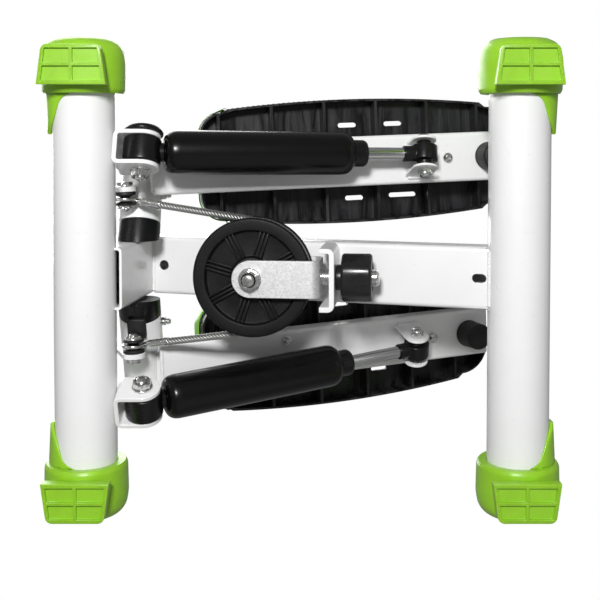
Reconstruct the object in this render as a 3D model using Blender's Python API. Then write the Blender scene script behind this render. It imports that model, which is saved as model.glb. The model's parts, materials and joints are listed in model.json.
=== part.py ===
"""Twist stepper: a low white steel frame, two pedal arms on tilted pivots, a cable and pulley
that make one pedal rise as the other sinks, and a hydraulic cylinder under each arm.

The part stands on z = 0. The towered end, where the pedals pivot, faces -Y; +X is the user's left.
Dimensions are in millimetres and degrees; every mesh and place is scaled to metres when it is made.
"""
import bmesh
import bpy
from math import acos, atan2, cos, pi, radians, sin, sqrt, tan
from mathutils import Matrix, Vector

MM = 0.001
GAP = 0.3                 # between pieces that touch
SIDES = {"left": 1, "right": -1}

# Cross tubes and feet
TUBE_RADIUS = 28.5
TUBE_WALL = 2.0
TUBE_Y = 200.7            # front tube at -TUBE_Y, rear tube at +TUBE_Y
TUBE_Z = 49.0
TUBE_HALF = 205.0
FOOT_BODY = [(170.0, 36.0), (173.0, 38.0), (200.0, 38.6), (211.0, 36.6), (217.0, 32.0), (220.0, 25.0)]
FOOT_FLOOR = 7.5          # underside of the foot's body
PAD_INNER_X = 176.5
PAD_OUTER_X = 212.0
PAD_INNER_HALF = 30.5
PAD_OUTER_HALF = 26.0
PAD_RIB = 4.0
PAD_RECESS = 3.0
PAD_CHAMFER = 5.0
TONGUE_TIP_X = 133.0
TONGUE_THICK = 6.0
TONGUE_SPREAD = 42.0      # half angle where the tongue leaves the foot
TONGUE_TIP_SPREAD = 4.0

# Central beam and tower
BEAM_WIDTH = 58.4
BEAM_DEPTH = 30.0
BEAM_WALL = 2.0
BEAM_SLOPE = 17.3
BEAM_FRONT_Y = -153.5
BEAM_FRONT_Z = 145.0      # lower front edge of the beam
BEAM_HOLE = (12.0, 5.0)   # place along the beam and radius
BEAM_SLOT = (39.0, 4.0, 6.5)      # distance from the rear end, half width and half length
TOWER_LEAN = 6.6
TOWER_DEPTH = 45.0
TOWER_FOOT_Z = 42.0
TOWER_TOP_Z = 184.0
TOWER_WALL = 2.5
LID_THICK = 3.7
LID_PLUG = 14.0

# Pedal pivots
TILT = 21.0               # each pivot axis rises outward by this much
PIVOT_X = 29.2            # the axis leaves the tower side here
PIVOT_Y = -162.0
PIVOT_Z = 110.0
PIVOT_TUBE_RADIUS = 20.5
PIVOT_TUBE_SPAN = (17.5, 99.5)
SHAFT_RADIUS = 10.0
SHAFT_WASHER = (16.0, 3.0)        # radius and thickness
SHAFT_HEX = (9.0, 5.0)
BUSH_RADIUS = 12.2
BUSH_FLANGE = 20.6
BUSH_PLAY = 0.4

# Pedal arms, in the deck frame: x outward from the arm's middle, y along the arm, z up
DECK_X = 98.0             # middle of the arm when both pedals are level with each other
DECK_SLOPE = 16.0
DECK_LEAN = 6.0           # at rest the left pedal is down by this angle and the right one up
ARM_WIDTH = 50.0
ARM_TOP = -22.0
ARM_BOTTOM = -47.0
ARM_SPAN = (8.0, 372.0)
ARM_WALL = 2.0
CHEEK_WALL = 5.0
CHEEK_SPAN = (-14.0, 38.0)
CHEEK_HEIGHT = (-41.0, -6.0)
STOP_PAD = (-64.0, -43.0)         # along the right pivot tube
STOP_PAD_HALF = 9.0
STOP_PAD_DEPTH = 24.2             # below the pivot axis
PEDAL_SPAN = (56.0, 388.0)
PEDAL_HALF = 64.0
PEDAL_HEIGHT = 22.0
PEDAL_SKIN = 3.0
PEDAL_MIDDLE = 212.0              # where the pedal is widest
PEDAL_TAPER = 8.5                 # half width lost this far from there
PEDAL_TAPER_RUN = 146.0
PEDAL_CORNERS = (24.0, 33.0)      # radii at the front and rear end
PEDAL_RIBS = [PEDAL_SPAN[0] + 20.0 + 54.0 * k for k in range(6)]
RIB_HALF = 1.5
PEDAL_SLOTS = ((37, 211, 9.5), (37, 260, 9.5), (-39, 216, 9.5), (-38, 268, 14.5))
SLOT_HALF = 2.4
TRIM_REACH = 3.0
TRIM_LENGTH = 30.0
TRIM_RISE = 8.0
PEDAL_SCREW_Y = 305.0
BUMPER_Y = 348.5
BUMPER_RADIUS = 14.5
BUMPER_HEIGHT = 27.0

# Hydraulic cylinders
CYLINDER_FOOT = (116.5, -147.5, 50.0)
ROD_EYE_DECK = (5.0, 275.0, -67.0)
SLEEVE_RADIUS = 20.8
SLEEVE_SPAN = (20.0, 202.0)
GLAND_END = 216.0
ROD_RADIUS = 6.2
EYE_RADIUS = 17.6
EYE_HALF = 12.2
CAVITY_RADIUS = 14.0
ROD_TAIL = 217.0          # from the rod eye's middle back to the piston's face
PISTON_LENGTH = 12.0
COLLAR_LENGTH = 22.0      # from the rod eye's middle back to the bare rod
COLLAR_RADIUS = 8.0
COLLAR_GRIP = 6.0         # length of rod inside the collar
ROD_EYE_RADIUS = 13.2
ROD_EYE_HALF = 7.8
ROD_EYE_SPACER = (7.2, 13.0)      # radius and half length
ROD_EYE_BORE = 6.3        # roomy: the closed linkage is opened at this pin
ROD_BOLT_RADIUS = 4.0
CLEVIS_INSIDE = 13.4
CLEVIS_WALL = 2.4
CLEVIS_HALF = 12.5
CLEVIS_PLATE_HALF = 17.5
BRACKET_WALL = 4.0
BRACKET_HALF = 16.5
BOLT_RADIUS = 5.0
CYLINDER_TILT = 22.6      # of the lower eye's bolt, so that the rod eye stays in its clevis

# Pulley and step height adjuster, in the pulley frame: y rearward, z along the pulley's axle
PULLEY_AT = (0.0, -45.5, 62.0)
PULLEY_SLOPE = 6.0
PULLEY_RADIUS = 55.7
PULLEY_HALF = 13.0
RIM_LIP = 1.5
RECESS_SPAN = (20.0, 43.0)        # radii of the sunken ring on each face
RECESS_DEPTH = 4.0
HUB_RISE = 2.0
AXLE_BORE = 6.4
AXLE_RADIUS = 6.0
GROOVE = (7.5, 48.2, 3.9)         # half width at the rim, floor radius, half width there
ROPE_LINE = 52.0
ROPE_RADIUS = 3.5
YOKE_WIDTH = 34.6
YOKE_GAP = 17.5
STRAP = 4.0
YOKE_WEB_Y = 60.0
PLATE_Y = 73.0
PLATE_THICK = 4.8
PLATE_LOW = -24.0
PLATE_HIGH = 60.0
LIP_REACH = 9.0
KNOB_SPAN = (83.0, 111.5)
KNOB_RADIUS = 22.5
SCREW_RADIUS = 8.0
SCREW_END = 118.0
SCREW_FLANGE = (11.0, 3.0)        # radius and thickness
KNOB_BEVEL = 2.5
KNOB_COLLAR = 12.0
KNOB_LOBES = 6

# Cable ends, in the deck frame
LUG_DECK = (-27.0, -18.0, -44.0)
FERRULE_SPAN = (9.6, 36.0)
FERRULE_RADIUS = 4.2
LUG_TAB = (7.2, 12.2)
LUG_HALF = 11.0
LUG_BOLT_RADIUS = 4.0
GROMMET_FLANGE = 8.8


def clear_scene():
    for item in list(bpy.data.objects):
        bpy.data.objects.remove(item)


def material(name, colour, roughness, metallic=0.0):
    made = bpy.data.materials.new(name)
    made.use_nodes = True
    shader = made.node_tree.nodes["Principled BSDF"]
    shader.inputs["Base Color"].default_value = (*colour, 1.0)
    shader.inputs["Roughness"].default_value = roughness
    shader.inputs["Metallic"].default_value = metallic
    return made


# ---- meshes, in millimetres -------------------------------------------------------------------

def ring_point(radius, angle, hexagonal):
    """A point of a circle, or of a hexagon whose corners lie on that circle."""
    if hexagonal:
        within = (angle + pi / 6) % (pi / 3) - pi / 6
        apothem = radius * cos(pi / 6)
        radius = apothem / cos(pi / 6 - abs(within))
    return radius * cos(angle), radius * sin(angle)


def turned(profile, sides=20):
    """A solid turned about z from (radius, height) points; a third entry makes that ring a hexagon.

    A profile that starts and ends on the axis is a plain solid; any other one is closed into a ring.
    """
    bm = bmesh.new()
    rings = []
    for point in profile:
        radius, height = point[0], point[1]
        if radius == 0:
            rings.append([bm.verts.new((0, 0, height))])
            continue
        around = [ring_point(radius, 2 * pi * k / sides, len(point) > 2) for k in range(sides)]
        rings.append([bm.verts.new((x, y, height)) for x, y in around])
    pairs = list(zip(rings, rings[1:]))
    if len(rings[0]) > 1 and len(rings[-1]) > 1:
        pairs.append((rings[-1], rings[0]))
    for low, high in pairs:
        for k in range(sides):
            after = (k + 1) % sides
            corners = [low[k % len(low)], low[after % len(low)],
                       high[after % len(high)], high[k % len(high)]]
            distinct = list(dict.fromkeys(corners))
            if len(distinct) > 2:
                bm.faces.new(distinct)
    bmesh.ops.recalc_face_normals(bm, faces=bm.faces)
    return bm


def pin(radius, low, high):
    """Profile of a plain cylinder."""
    return [(0, low), (radius, low), (radius, high), (0, high)]


def lofted(sections):
    """A closed solid through matching outlines, each a list of points, with flat ends."""
    bm = bmesh.new()
    rings = [[bm.verts.new(point) for point in section] for section in sections]
    for low, high in zip(rings, rings[1:]):
        for k in range(len(low)):
            after = (k + 1) % len(low)
            bm.faces.new([low[k], low[after], high[after], high[k]])
    bm.faces.new(rings[0])
    bm.faces.new(rings[-1])
    if len(sections) > 2:
        bmesh.ops.triangulate(bm, faces=bm.faces)
    bmesh.ops.recalc_face_normals(bm, faces=bm.faces)
    return bm


def prism(outline, low, high):
    """A plate of the given xy outline between two heights."""
    return lofted([[(x, y, height) for x, y in outline] for height in (low, high)])


def block(x_span, y_span, z_span):
    (x0, x1), (y0, y1) = x_span, y_span
    return prism([(x0, y0), (x1, y0), (x1, y1), (x0, y1)], *z_span)


def rounded_box(half_x, half_y, corner, steps=3):
    """Outline of a rectangle with round corners, centred on the origin."""
    points = []
    for quarter, (sign_x, sign_y) in enumerate([(1, 1), (-1, 1), (-1, -1), (1, -1)]):
        for step in range(steps + 1):
            angle = pi / 2 * (quarter + step / steps)
            points.append((sign_x * (half_x - corner) + corner * cos(angle),
                           sign_y * (half_y - corner) + corner * sin(angle)))
    return points


def tongue_outline(length, half, steps=8):
    """Outline of a plate from y = -length, square there, to a round end about the origin."""
    points = [(half, -length)]
    for step in range(steps + 1):
        angle = pi * step / steps
        points.append((half * cos(angle), half * sin(angle)))
    points.append((-half, -length))
    return points


def moved(bm, matrix):
    """The same mesh, turned and shifted; a mirroring matrix keeps its faces pointing out."""
    bmesh.ops.transform(bm, matrix=matrix, verts=bm.verts)
    bmesh.ops.recalc_face_normals(bm, faces=bm.faces)
    return bm


def sliced(bm, at, keep):
    """What lies on the keep side of a plane, closed with a flat face."""
    everything = bm.verts[:] + bm.edges[:] + bm.faces[:]
    bmesh.ops.bisect_plane(bm, geom=everything, plane_co=at, plane_no=keep, clear_inner=True)
    bmesh.ops.holes_fill(bm, edges=[edge for edge in bm.edges if edge.is_boundary])
    bmesh.ops.recalc_face_normals(bm, faces=bm.faces)
    return bm


# ---- frames and objects -----------------------------------------------------------------------

def frame(origin, z_axis, x_hint):
    """Matrix of a frame with the given z axis and its x axis as near as can be to x_hint."""
    z_axis = Vector(z_axis).normalized()
    x_axis = (Vector(x_hint) - Vector(x_hint).dot(z_axis) * z_axis).normalized()
    y_axis = z_axis.cross(x_axis)
    matrix = Matrix((x_axis, y_axis, z_axis)).transposed().to_4x4()
    return Matrix.Translation(Vector(origin)) @ matrix


def end_frame(origin, z_axis, y_hint):
    """Matrix of a frame with the given z axis and its y axis as near as can be to y_hint."""
    return frame(origin, z_axis, Vector(y_hint).cross(Vector(z_axis)))


def in_metres(matrix):
    scaled = matrix.copy()
    scaled.translation = matrix.translation * MM
    return scaled


def made_object(name, bm):
    bmesh.ops.scale(bm, vec=(MM, MM, MM), verts=bm.verts)
    mesh = bpy.data.meshes.new(name)
    bm.to_mesh(mesh)
    bm.free()
    item = bpy.data.objects.new(name, mesh)
    bpy.context.scene.collection.objects.link(item)
    return item


def shaped(item, bm, operation):
    """Add a mesh to an object, or cut it away, in the object's own frame."""
    tool = made_object(item.name + "_tool", bm)
    tool.parent = item
    tool.hide_render = True
    tool.display_type = "WIRE"
    step = item.modifiers.new(operation.lower(), "BOOLEAN")
    step.operation = operation
    step.solver = "EXACT"
    step.object = tool


def piece(name, finish, bm, parent=None, place=None, add=(), cut=()):
    """One named sub-part: a mesh with more meshes joined to it, then others cut from it."""
    item = made_object(name, bm)
    item.data.shade_smooth()
    item.data.set_sharp_from_angle(angle=radians(35))
    item.data.materials.append(finish)
    item.parent = parent
    item.matrix_local = in_metres(place or Matrix())
    for extra in add:
        shaped(item, extra, "UNION")
    for cutter in cut:
        shaped(item, cutter, "DIFFERENCE")
    return item


def joint_frame(name, matrix, parent=None):
    """An empty on a joint's axis, which the moving pieces hang from."""
    empty = bpy.data.objects.new(name, None)
    bpy.context.scene.collection.objects.link(empty)
    empty.parent = parent
    empty.matrix_local = in_metres(matrix)
    return empty


def mirror(side):
    return Matrix.Diagonal((side, 1, 1, 1))


# ---- geometry of the mechanism ----------------------------------------------------------------

def outward(side):
    """Direction of a pivot axis, outward and up."""
    return Vector((side * cos(radians(TILT)), 0, sin(radians(TILT))))


def hinge_axis(side):
    """The same line pointing to +X, about which a positive turn lifts the pedal."""
    return outward(side) * side


def cylinder_axis(side):
    """The bolt through a cylinder's lower eye, pointing to +X."""
    return Vector((cos(radians(CYLINDER_TILT)), 0, side * sin(radians(CYLINDER_TILT))))


def pivot_point(side):
    return Vector((side * PIVOT_X, PIVOT_Y, PIVOT_Z))


def deck_origin(side):
    """Where the pivot axis passes over the middle of the arm."""
    return pivot_point(side) + outward(side) * ((DECK_X - PIVOT_X) / cos(radians(TILT)))


def deck_matrix(side):
    """Frame of a pedal arm at rest, in the part's frame."""
    lean = Matrix.Rotation(radians(-side * DECK_LEAN), 4, hinge_axis(side))
    return Matrix.Translation(deck_origin(side)) @ lean @ Matrix.Rotation(radians(DECK_SLOPE), 4, "X")


def on_deck(side, point):
    """A point given in the deck frame of the left arm, mirrored for the right one."""
    return deck_matrix(side) @ Vector((side * point[0], point[1], point[2]))


def axis_in_deck(side):
    return Matrix.Rotation(radians(-DECK_SLOPE), 3, "X") @ outward(side)


def pivot_in_deck(side):
    """Frame of the pivot tube in the deck frame, z outward along the axis."""
    return frame((0, 0, 0), axis_in_deck(side), (0, 1, 0))


def pivot_cutter():
    """Solid that clears the pivot tube."""
    clear = PIVOT_TUBE_RADIUS + GAP
    return turned(pin(clear, -80, 80), 24)


def cylinder_foot(side):
    x, y, z = CYLINDER_FOOT
    return Vector((side * x, y, z))


def cylinder_matrix(side):
    """z runs from the lower eye to the rod eye, x lies near the bolt axis."""
    foot = cylinder_foot(side)
    return frame(foot, on_deck(side, ROD_EYE_DECK) - foot, cylinder_axis(side) * side)


def cylinder_length(side):
    return (on_deck(side, ROD_EYE_DECK) - cylinder_foot(side)).length


def pulley_matrix():
    return Matrix.Translation(Vector(PULLEY_AT)) @ Matrix.Rotation(radians(-PULLEY_SLOPE), 4, "X")


def rope_tangent(side):
    """Where the straight strand meets the pulley, in the part's frame."""
    lug = pulley_matrix().inverted() @ on_deck(side, LUG_DECK)
    to_lug = atan2(abs(lug.x), -lug.y)
    angle = to_lug + acos(ROPE_LINE / sqrt(lug.x ** 2 + lug.y ** 2))
    return pulley_matrix() @ Vector((side * ROPE_LINE * sin(angle), -ROPE_LINE * cos(angle), 0))


def strand_direction(side):
    return (rope_tangent(side) - on_deck(side, LUG_DECK)).normalized()


# ---- fasteners --------------------------------------------------------------------------------

def bolt_profile(radius, low, high, head, nut, corner, stub=2.5):
    """Bolt along z with a hexagon head ending at high and a nut whose stub ends at low."""
    return [(0, low), (radius * 0.8, low), (radius, low + 0.8), (radius, low + stub),
            (corner, low + stub, "hex"), (corner, low + stub + nut, "hex"),
            (radius, low + stub + nut), (radius, high - head),
            (corner, high - head, "hex"), (corner, high, "hex"), (0, high)]


# ---- the frame --------------------------------------------------------------------------------

def build_cross_tubes(white):
    inner = TUBE_RADIUS - TUBE_WALL
    profile = [(inner, -TUBE_HALF), (TUBE_RADIUS, -TUBE_HALF),
               (TUBE_RADIUS, TUBE_HALF), (inner, TUBE_HALF)]
    for name, end in (("front", -1), ("rear", 1)):
        place = frame((0, end * TUBE_Y, TUBE_Z), (1, 0, 0), (0, 1, 0))
        piece(f"{name}_cross_tube", white, turned(profile, 32), place=place)


def tube_cutter(end):
    """Solid that clears a cross tube."""
    place = frame((0, end * TUBE_Y, TUBE_Z), (1, 0, 0), (0, 1, 0))
    return moved(turned(pin(TUBE_RADIUS + GAP, -150, 150), 32), place)


def foot_section(x, radius):
    """Round outline of a foot about its tube, cut flat just above the pad."""
    points = []
    for k in range(20):
        angle = 2 * pi * k / 20
        points.append((x, radius * cos(angle), max(radius * sin(angle), FOOT_FLOOR - TUBE_Z)))
    return points


def foot_tongue():
    """The tapering lip along the outer side of the tube, before the tube's bore is cut from it."""
    start = FOOT_BODY[0][0] + 4
    sections = []
    for share in (0.0, 0.25, 0.5, 0.75, 0.92, 1.0):
        spread = radians(TONGUE_SPREAD * cos(share * pi / 2) ** 0.8 + TONGUE_TIP_SPREAD)
        thick = TONGUE_THICK * (1 - 0.35 * share)
        x = start + (TONGUE_TIP_X - start) * share
        inner, outer = TUBE_RADIUS - 4, TUBE_RADIUS + thick
        turns = [spread * (step / 3 - 1) for step in range(7)]
        arc = [(x, outer * cos(turn), outer * sin(turn)) for turn in turns]
        arc += [(x, inner * cos(turn), inner * sin(turn)) for turn in reversed(turns)]
        sections.append(arc)
    return lofted(sections)


def foot_pad():
    """The block under the foot that stands on the floor, narrower at its outer end."""
    right = [(PAD_INNER_X, PAD_INNER_HALF), (PAD_OUTER_X - PAD_CHAMFER, PAD_OUTER_HALF),
             (PAD_OUTER_X, PAD_OUTER_HALF - PAD_CHAMFER)]
    outline = right + [(x, -y) for x, y in reversed(right)]
    return prism(outline, -TUBE_Z, FOOT_FLOOR + 4 - TUBE_Z)


def pad_windows():
    """Four shallow recesses that leave a cross of ribs on the pad's face."""
    middle = (PAD_INNER_X + PAD_OUTER_X) / 2
    for x0, x1, half in ((PAD_INNER_X + PAD_RIB, middle - 2, PAD_INNER_HALF - PAD_RIB - 1),
                         (middle + 2, PAD_OUTER_X - PAD_RIB, PAD_OUTER_HALF - PAD_RIB - 1)):
        for y0, y1 in ((2, half), (-half, -2)):
            yield block((x0, x1), (y0, y1), (-TUBE_Z - 5, PAD_RECESS - TUBE_Z))


def build_feet(green):
    for end_name, end in (("front", -1), ("rear", 1)):
        for side_name, side in SIDES.items():
            turn = Matrix.Translation(Vector((0, end * TUBE_Y, TUBE_Z))) @ Matrix.Diagonal(
                (side, end, 1, 1))
            bore = turned(pin(TUBE_RADIUS + GAP, 100, TUBE_HALF + GAP), 32)
            bore = moved(bore, frame((0, 0, 0), (1, 0, 0), (0, 1, 0)))
            body = lofted([foot_section(x, radius) for x, radius in FOOT_BODY])
            piece(f"{end_name}_{side_name}_foot", green, moved(body, turn),
                  add=[moved(foot_pad(), turn), moved(foot_tongue(), turn)],
                  cut=[moved(bore, turn)] + [moved(window, turn) for window in pad_windows()])


def beam_matrix():
    """Origin at the middle of the beam's lower front edge, y rearward down the beam."""
    return Matrix.Translation(Vector((0, BEAM_FRONT_Y, BEAM_FRONT_Z))) @ Matrix.Rotation(
        radians(-BEAM_SLOPE), 4, "X")


def build_beam(white):
    matrix = beam_matrix()
    to_beam = matrix.inverted()
    half, wall = BEAM_WIDTH / 2, BEAM_WALL
    reach = (TUBE_Y - BEAM_FRONT_Y) / cos(radians(BEAM_SLOPE))
    bore = block((wall - half, half - wall), (-60, reach + 50), (wall, BEAM_DEPTH - wall))
    at, radius = BEAM_HOLE
    round_hole = moved(turned(pin(radius, -4, 4), 16), Matrix.Translation((0, at, 0)))
    back, slot_half, slot_length = BEAM_SLOT
    slot = moved(prism(rounded_box(slot_half, slot_length, slot_half - 0.1), -4, 4),
                 Matrix.Translation((0, reach - back, 0)))
    rearward = to_beam.to_3x3() @ tower_matrix().to_3x3() @ Vector((0, 1, 0))
    seat = to_beam @ tower_matrix() @ Vector((0, GAP, 0))
    body = sliced(block((-half, half), (-40, reach), (0, BEAM_DEPTH)), seat, rearward)
    piece("central_beam", white, body, place=matrix,
          cut=[bore, round_hole, slot, moved(tube_cutter(1), to_beam)])


def tower_matrix():
    """Origin on the tower's rear face at the foot, z up the tower."""
    rise = BEAM_FRONT_Z - TOWER_FOOT_Z
    origin = Vector((0, BEAM_FRONT_Y - rise * tan(radians(TOWER_LEAN)), TOWER_FOOT_Z))
    return Matrix.Translation(origin) @ Matrix.Rotation(radians(-TOWER_LEAN), 4, "X")


def build_tower(white, plastic):
    matrix = tower_matrix()
    half, wall = BEAM_WIDTH / 2 - GAP, TOWER_WALL
    height = (TOWER_TOP_Z - TOWER_FOOT_Z) / cos(radians(TOWER_LEAN))
    body = block((-half, half), (-TOWER_DEPTH, 0), (0, height))
    bore = block((wall - half, half - wall), (wall - TOWER_DEPTH, -wall), (-5, height + 5))
    piece("tower", white, body, place=matrix, cut=[bore, moved(tube_cutter(-1), matrix.inverted())])
    lid = block((-half, half), (-TOWER_DEPTH, 0), (height + GAP, height + GAP + LID_THICK))
    plug_half = half - wall - GAP
    plug = block((-plug_half, plug_half), (wall + GAP - TOWER_DEPTH, -wall - GAP),
                 (height - LID_PLUG, height + 2))
    piece("tower_end_cap", plastic, lid, place=matrix, add=[plug])


# ---- pivots and cylinder brackets on the frame ------------------------------------------------

def build_pivot_hardware(side_name, side, steel, plastic):
    matrix = frame(pivot_point(side), outward(side), (0, 1, 0))
    face = matrix.inverted() @ Vector((side * (BEAM_WIDTH / 2 + 0.1), PIVOT_Y, PIVOT_Z))
    facing = matrix.inverted().to_3x3() @ Vector((side, 0, 0))
    start, end = PIVOT_TUBE_SPAN
    washer, washer_thick = SHAFT_WASHER
    corner, hex_length = SHAFT_HEX
    face_z = end + 1
    washer_z = face_z + washer_thick
    tip_z = washer_z + hex_length
    shaft = turned([(0, -15), (SHAFT_RADIUS, -15), (SHAFT_RADIUS, face_z), (washer, face_z),
                    (washer, washer_z), (corner, washer_z, "hex"), (corner, tip_z, "hex"),
                    (0, tip_z)])
    piece(f"{side_name}_pivot_shaft", steel, sliced(shaft, face, facing), place=matrix)
    inner = SHAFT_RADIUS + GAP
    bush = turned([(inner, -15), (BUSH_FLANGE, -15), (BUSH_FLANGE, start - GAP),
                   (BUSH_RADIUS, start - GAP), (BUSH_RADIUS, end), (inner, end)])
    piece(f"{side_name}_pivot_bush", plastic, sliced(bush, face, facing), place=matrix)


def build_cylinder_bracket(side_name, side, white, steel, plastic):
    foot = cylinder_foot(side)
    matrix = end_frame(foot, cylinder_axis(side) * side, (0, 1, 0))
    wall, half, inside = BRACKET_WALL, BRACKET_HALF, EYE_HALF + 0.6
    to_tube = foot.y + TUBE_Y - TUBE_RADIUS - GAP
    arms = [prism(tongue_outline(to_tube, half), low, low + wall)
            for low in (-inside - wall, inside)]
    web = block((-half, half), (-to_tube, wall - to_tube), (-inside - wall, inside + wall))
    hole = turned(pin(BOLT_RADIUS + GAP, -30, 30), 16)
    piece(f"{side_name}_cylinder_bracket", white, web, place=matrix, add=arms, cut=[hole])
    out = inside + wall + GAP
    profile = bolt_profile(BOLT_RADIUS, -out - 10, out + 5, 5, 7, 9)
    piece(f"{side_name}_cylinder_bolt", steel, turned(profile, 12), place=matrix)
    if side > 0:
        cap = turned([(10, out + GAP), (18.5, out + GAP), (19, out + 2), (17, out + 5.5),
                      (12, out + 7.5), (0, out + 8), (0, out + 5.5), (10, out + 5.5)], 24)
        piece(f"{side_name}_bracket_cap", plastic, cap, place=matrix)


# ---- pedal arms -------------------------------------------------------------------------------

def build_arm(side_name, side, hang, white):
    """The arm and its pivot tube."""
    half = ARM_WIDTH / 2
    tilt_in_deck = pivot_in_deck(side)
    centre = (DECK_X - PIVOT_X) / cos(radians(TILT))
    start, end = (reach - centre for reach in PIVOT_TUBE_SPAN)
    bore_radius = BUSH_RADIUS + BUSH_PLAY
    pivot = turned([(bore_radius, start), (PIVOT_TUBE_RADIUS, start), (PIVOT_TUBE_RADIUS, end),
                    (bore_radius, end)], 24)
    piece(f"{side_name}_pivot_tube", white, pivot, hang, tilt_in_deck)
    saddle = moved(pivot_cutter(), tilt_in_deck)
    body = block((-half, half), ARM_SPAN, (ARM_BOTTOM, ARM_TOP))
    cheek = moved(block((half - CHEEK_WALL, half), CHEEK_SPAN, CHEEK_HEIGHT), mirror(side))
    bore = block((ARM_WALL - half, half - ARM_WALL), (ARM_SPAN[0] - 9, ARM_SPAN[1] + 9),
                 (ARM_BOTTOM + ARM_WALL, ARM_TOP - ARM_WALL))
    piece(f"{side_name}_arm", white, body, hang, add=[cheek], cut=[bore, saddle])


def build_stop_pad(hang, rubber):
    """The block under the right arm's pivot tube, just inboard of the cable's bolt."""
    matrix = end_frame((0, 0, 0), axis_in_deck(-1), (0, -0.4, -1))
    pad = block((-STOP_PAD_HALF, STOP_PAD_HALF), (12, STOP_PAD_DEPTH), STOP_PAD)
    piece("right_stop_pad", rubber, pad, hang, matrix, cut=[pivot_cutter()])


def pedal_half(y):
    """Half width of the pedal at a place along it, its round corners left aside."""
    return PEDAL_HALF - PEDAL_TAPER * ((y - PEDAL_MIDDLE) / PEDAL_TAPER_RUN) ** 2


def pedal_edge(inset=0.0, steps=8):
    """The +x edge of the pedal from its front end to its rear end, with round corners."""
    low, high = PEDAL_SPAN[0] + inset, PEDAL_SPAN[1] - inset
    front, rear = (radius - inset for radius in PEDAL_CORNERS)
    quarter = [pi / 8 * step for step in range(5)]
    points = []
    for angle in quarter:
        points.append((pedal_half(low) - inset - front + front * sin(angle),
                       low + front - front * cos(angle)))
    for step in range(1, steps):
        y = low + front + (high - low - front - rear) * step / steps
        points.append((pedal_half(y) - inset, y))
    for angle in quarter:
        points.append((pedal_half(high) - inset - rear + rear * cos(angle),
                       high - rear + rear * sin(angle)))
    return points


def both_edges(edge):
    """Closed outline from an edge and its mirror image."""
    return edge + [(-x, y) for x, y in reversed(edge)]


def edge_x(edge, y):
    """x of an edge at a place along it."""
    for (x0, y0), (x1, y1) in zip(edge, edge[1:]):
        if y0 <= y <= y1:
            return x0 + (x1 - x0) * (y - y0) / (y1 - y0)


def pedal_pockets():
    """The hollows under the pedal, one between each pair of cross ribs."""
    inside = pedal_edge(PEDAL_SKIN)
    starts = [inside[0][1]] + [rib + RIB_HALF for rib in PEDAL_RIBS]
    ends = [rib - RIB_HALF for rib in PEDAL_RIBS] + [inside[-1][1]]
    for start, end in zip(starts, ends):
        edge = [point for point in inside if start < point[1] < end]
        edge = [(edge_x(inside, start), start)] + edge + [(edge_x(inside, end), end)]
        yield prism(both_edges(edge), ARM_TOP - 5, ARM_TOP + PEDAL_HEIGHT - PEDAL_SKIN)


def toe_outline():
    """The crescent that wraps the pedal's front end."""
    limit = PEDAL_SPAN[0] + TRIM_LENGTH
    outer = [point for point in pedal_edge(-TRIM_REACH) if point[1] < limit]
    inner = [point for point in pedal_edge(-GAP) if point[1] < limit]
    outside = [(-x, y) for x, y in reversed(outer)] + outer
    return outside + list(reversed(inner)) + [(-x, y) for x, y in inner]


def build_pedal(side_name, side, hang, plastic, green, steel):
    base, top = ARM_TOP + GAP, ARM_TOP + PEDAL_HEIGHT
    slots = []
    for x, y, half in PEDAL_SLOTS:
        slot = prism(rounded_box(SLOT_HALF, half, SLOT_HALF - 0.1, 2), -40, 40)
        slots.append(moved(slot, Matrix.Translation((side * x, y, 0))))
    piece(f"{side_name}_pedal", plastic, prism(both_edges(pedal_edge()), base, top), hang,
          cut=list(pedal_pockets()) + slots)
    trim = prism(toe_outline(), base + 3, top + TRIM_RISE)
    piece(f"{side_name}_toe_trim", green, trim, hang)
    screw = turned([(0, ARM_BOTTOM - 4.5), (2.5, ARM_BOTTOM - 4.3), (4.8, ARM_BOTTOM - 2.5),
                    (5.3, ARM_BOTTOM - GAP), (0, ARM_BOTTOM - GAP)], 16)
    place = Matrix.Translation((0, PEDAL_SCREW_Y, 0))
    piece(f"{side_name}_pedal_screw", steel, moved(screw, place), hang)


def build_bumper(side_name, hang, rubber):
    low = ARM_BOTTOM - GAP - BUMPER_HEIGHT
    profile = [(0, low), (BUMPER_RADIUS - 2.5, low), (BUMPER_RADIUS - 0.5, low + 2),
               (BUMPER_RADIUS, ARM_BOTTOM - GAP), (0, ARM_BOTTOM - GAP)]
    bumper = moved(turned(profile, 24), Matrix.Translation((0, BUMPER_Y, 0)))
    piece(f"{side_name}_bumper", rubber, bumper, hang)


def build_rod_clevis(side_name, side, hang, white, steel):
    """The bracket under the arm that holds the rod eye, with its flanges square to the bolt."""
    x, y, z = ROD_EYE_DECK
    matrix = end_frame((side * x, y, z), axis_in_deck(side), (0, 0, -1))
    to_local = matrix.inverted()
    inside, wall = CLEVIS_INSIDE, CLEVIS_WALL
    seat = to_local @ Vector((0, 0, ARM_BOTTOM - GAP))
    up = to_local.to_3x3() @ Vector((0, 0, 1))
    flanges = [sliced(prism(tongue_outline(60, CLEVIS_HALF), low, low + wall), seat, -up)
               for low in (-inside - wall, inside)]
    middle = side * (x - (ARM_BOTTOM - z) * tan(radians(TILT)))
    plate = moved(block((middle - CLEVIS_PLATE_HALF, middle + CLEVIS_PLATE_HALF),
                        (y - CLEVIS_HALF, y + CLEVIS_HALF),
                        (ARM_BOTTOM - GAP - wall, ARM_BOTTOM - GAP)), to_local)
    hole = turned(pin(ROD_BOLT_RADIUS + 0.4, -30, 30), 12)
    piece(f"{side_name}_rod_clevis", white, plate, hang, matrix, add=flanges, cut=[hole])
    out = inside + wall + GAP
    profile = bolt_profile(ROD_BOLT_RADIUS, -out - 9, out + 4.5, 4.5, 6.5, 7.5)
    piece(f"{side_name}_rod_bolt", steel, turned(profile, 12), hang, matrix)


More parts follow.
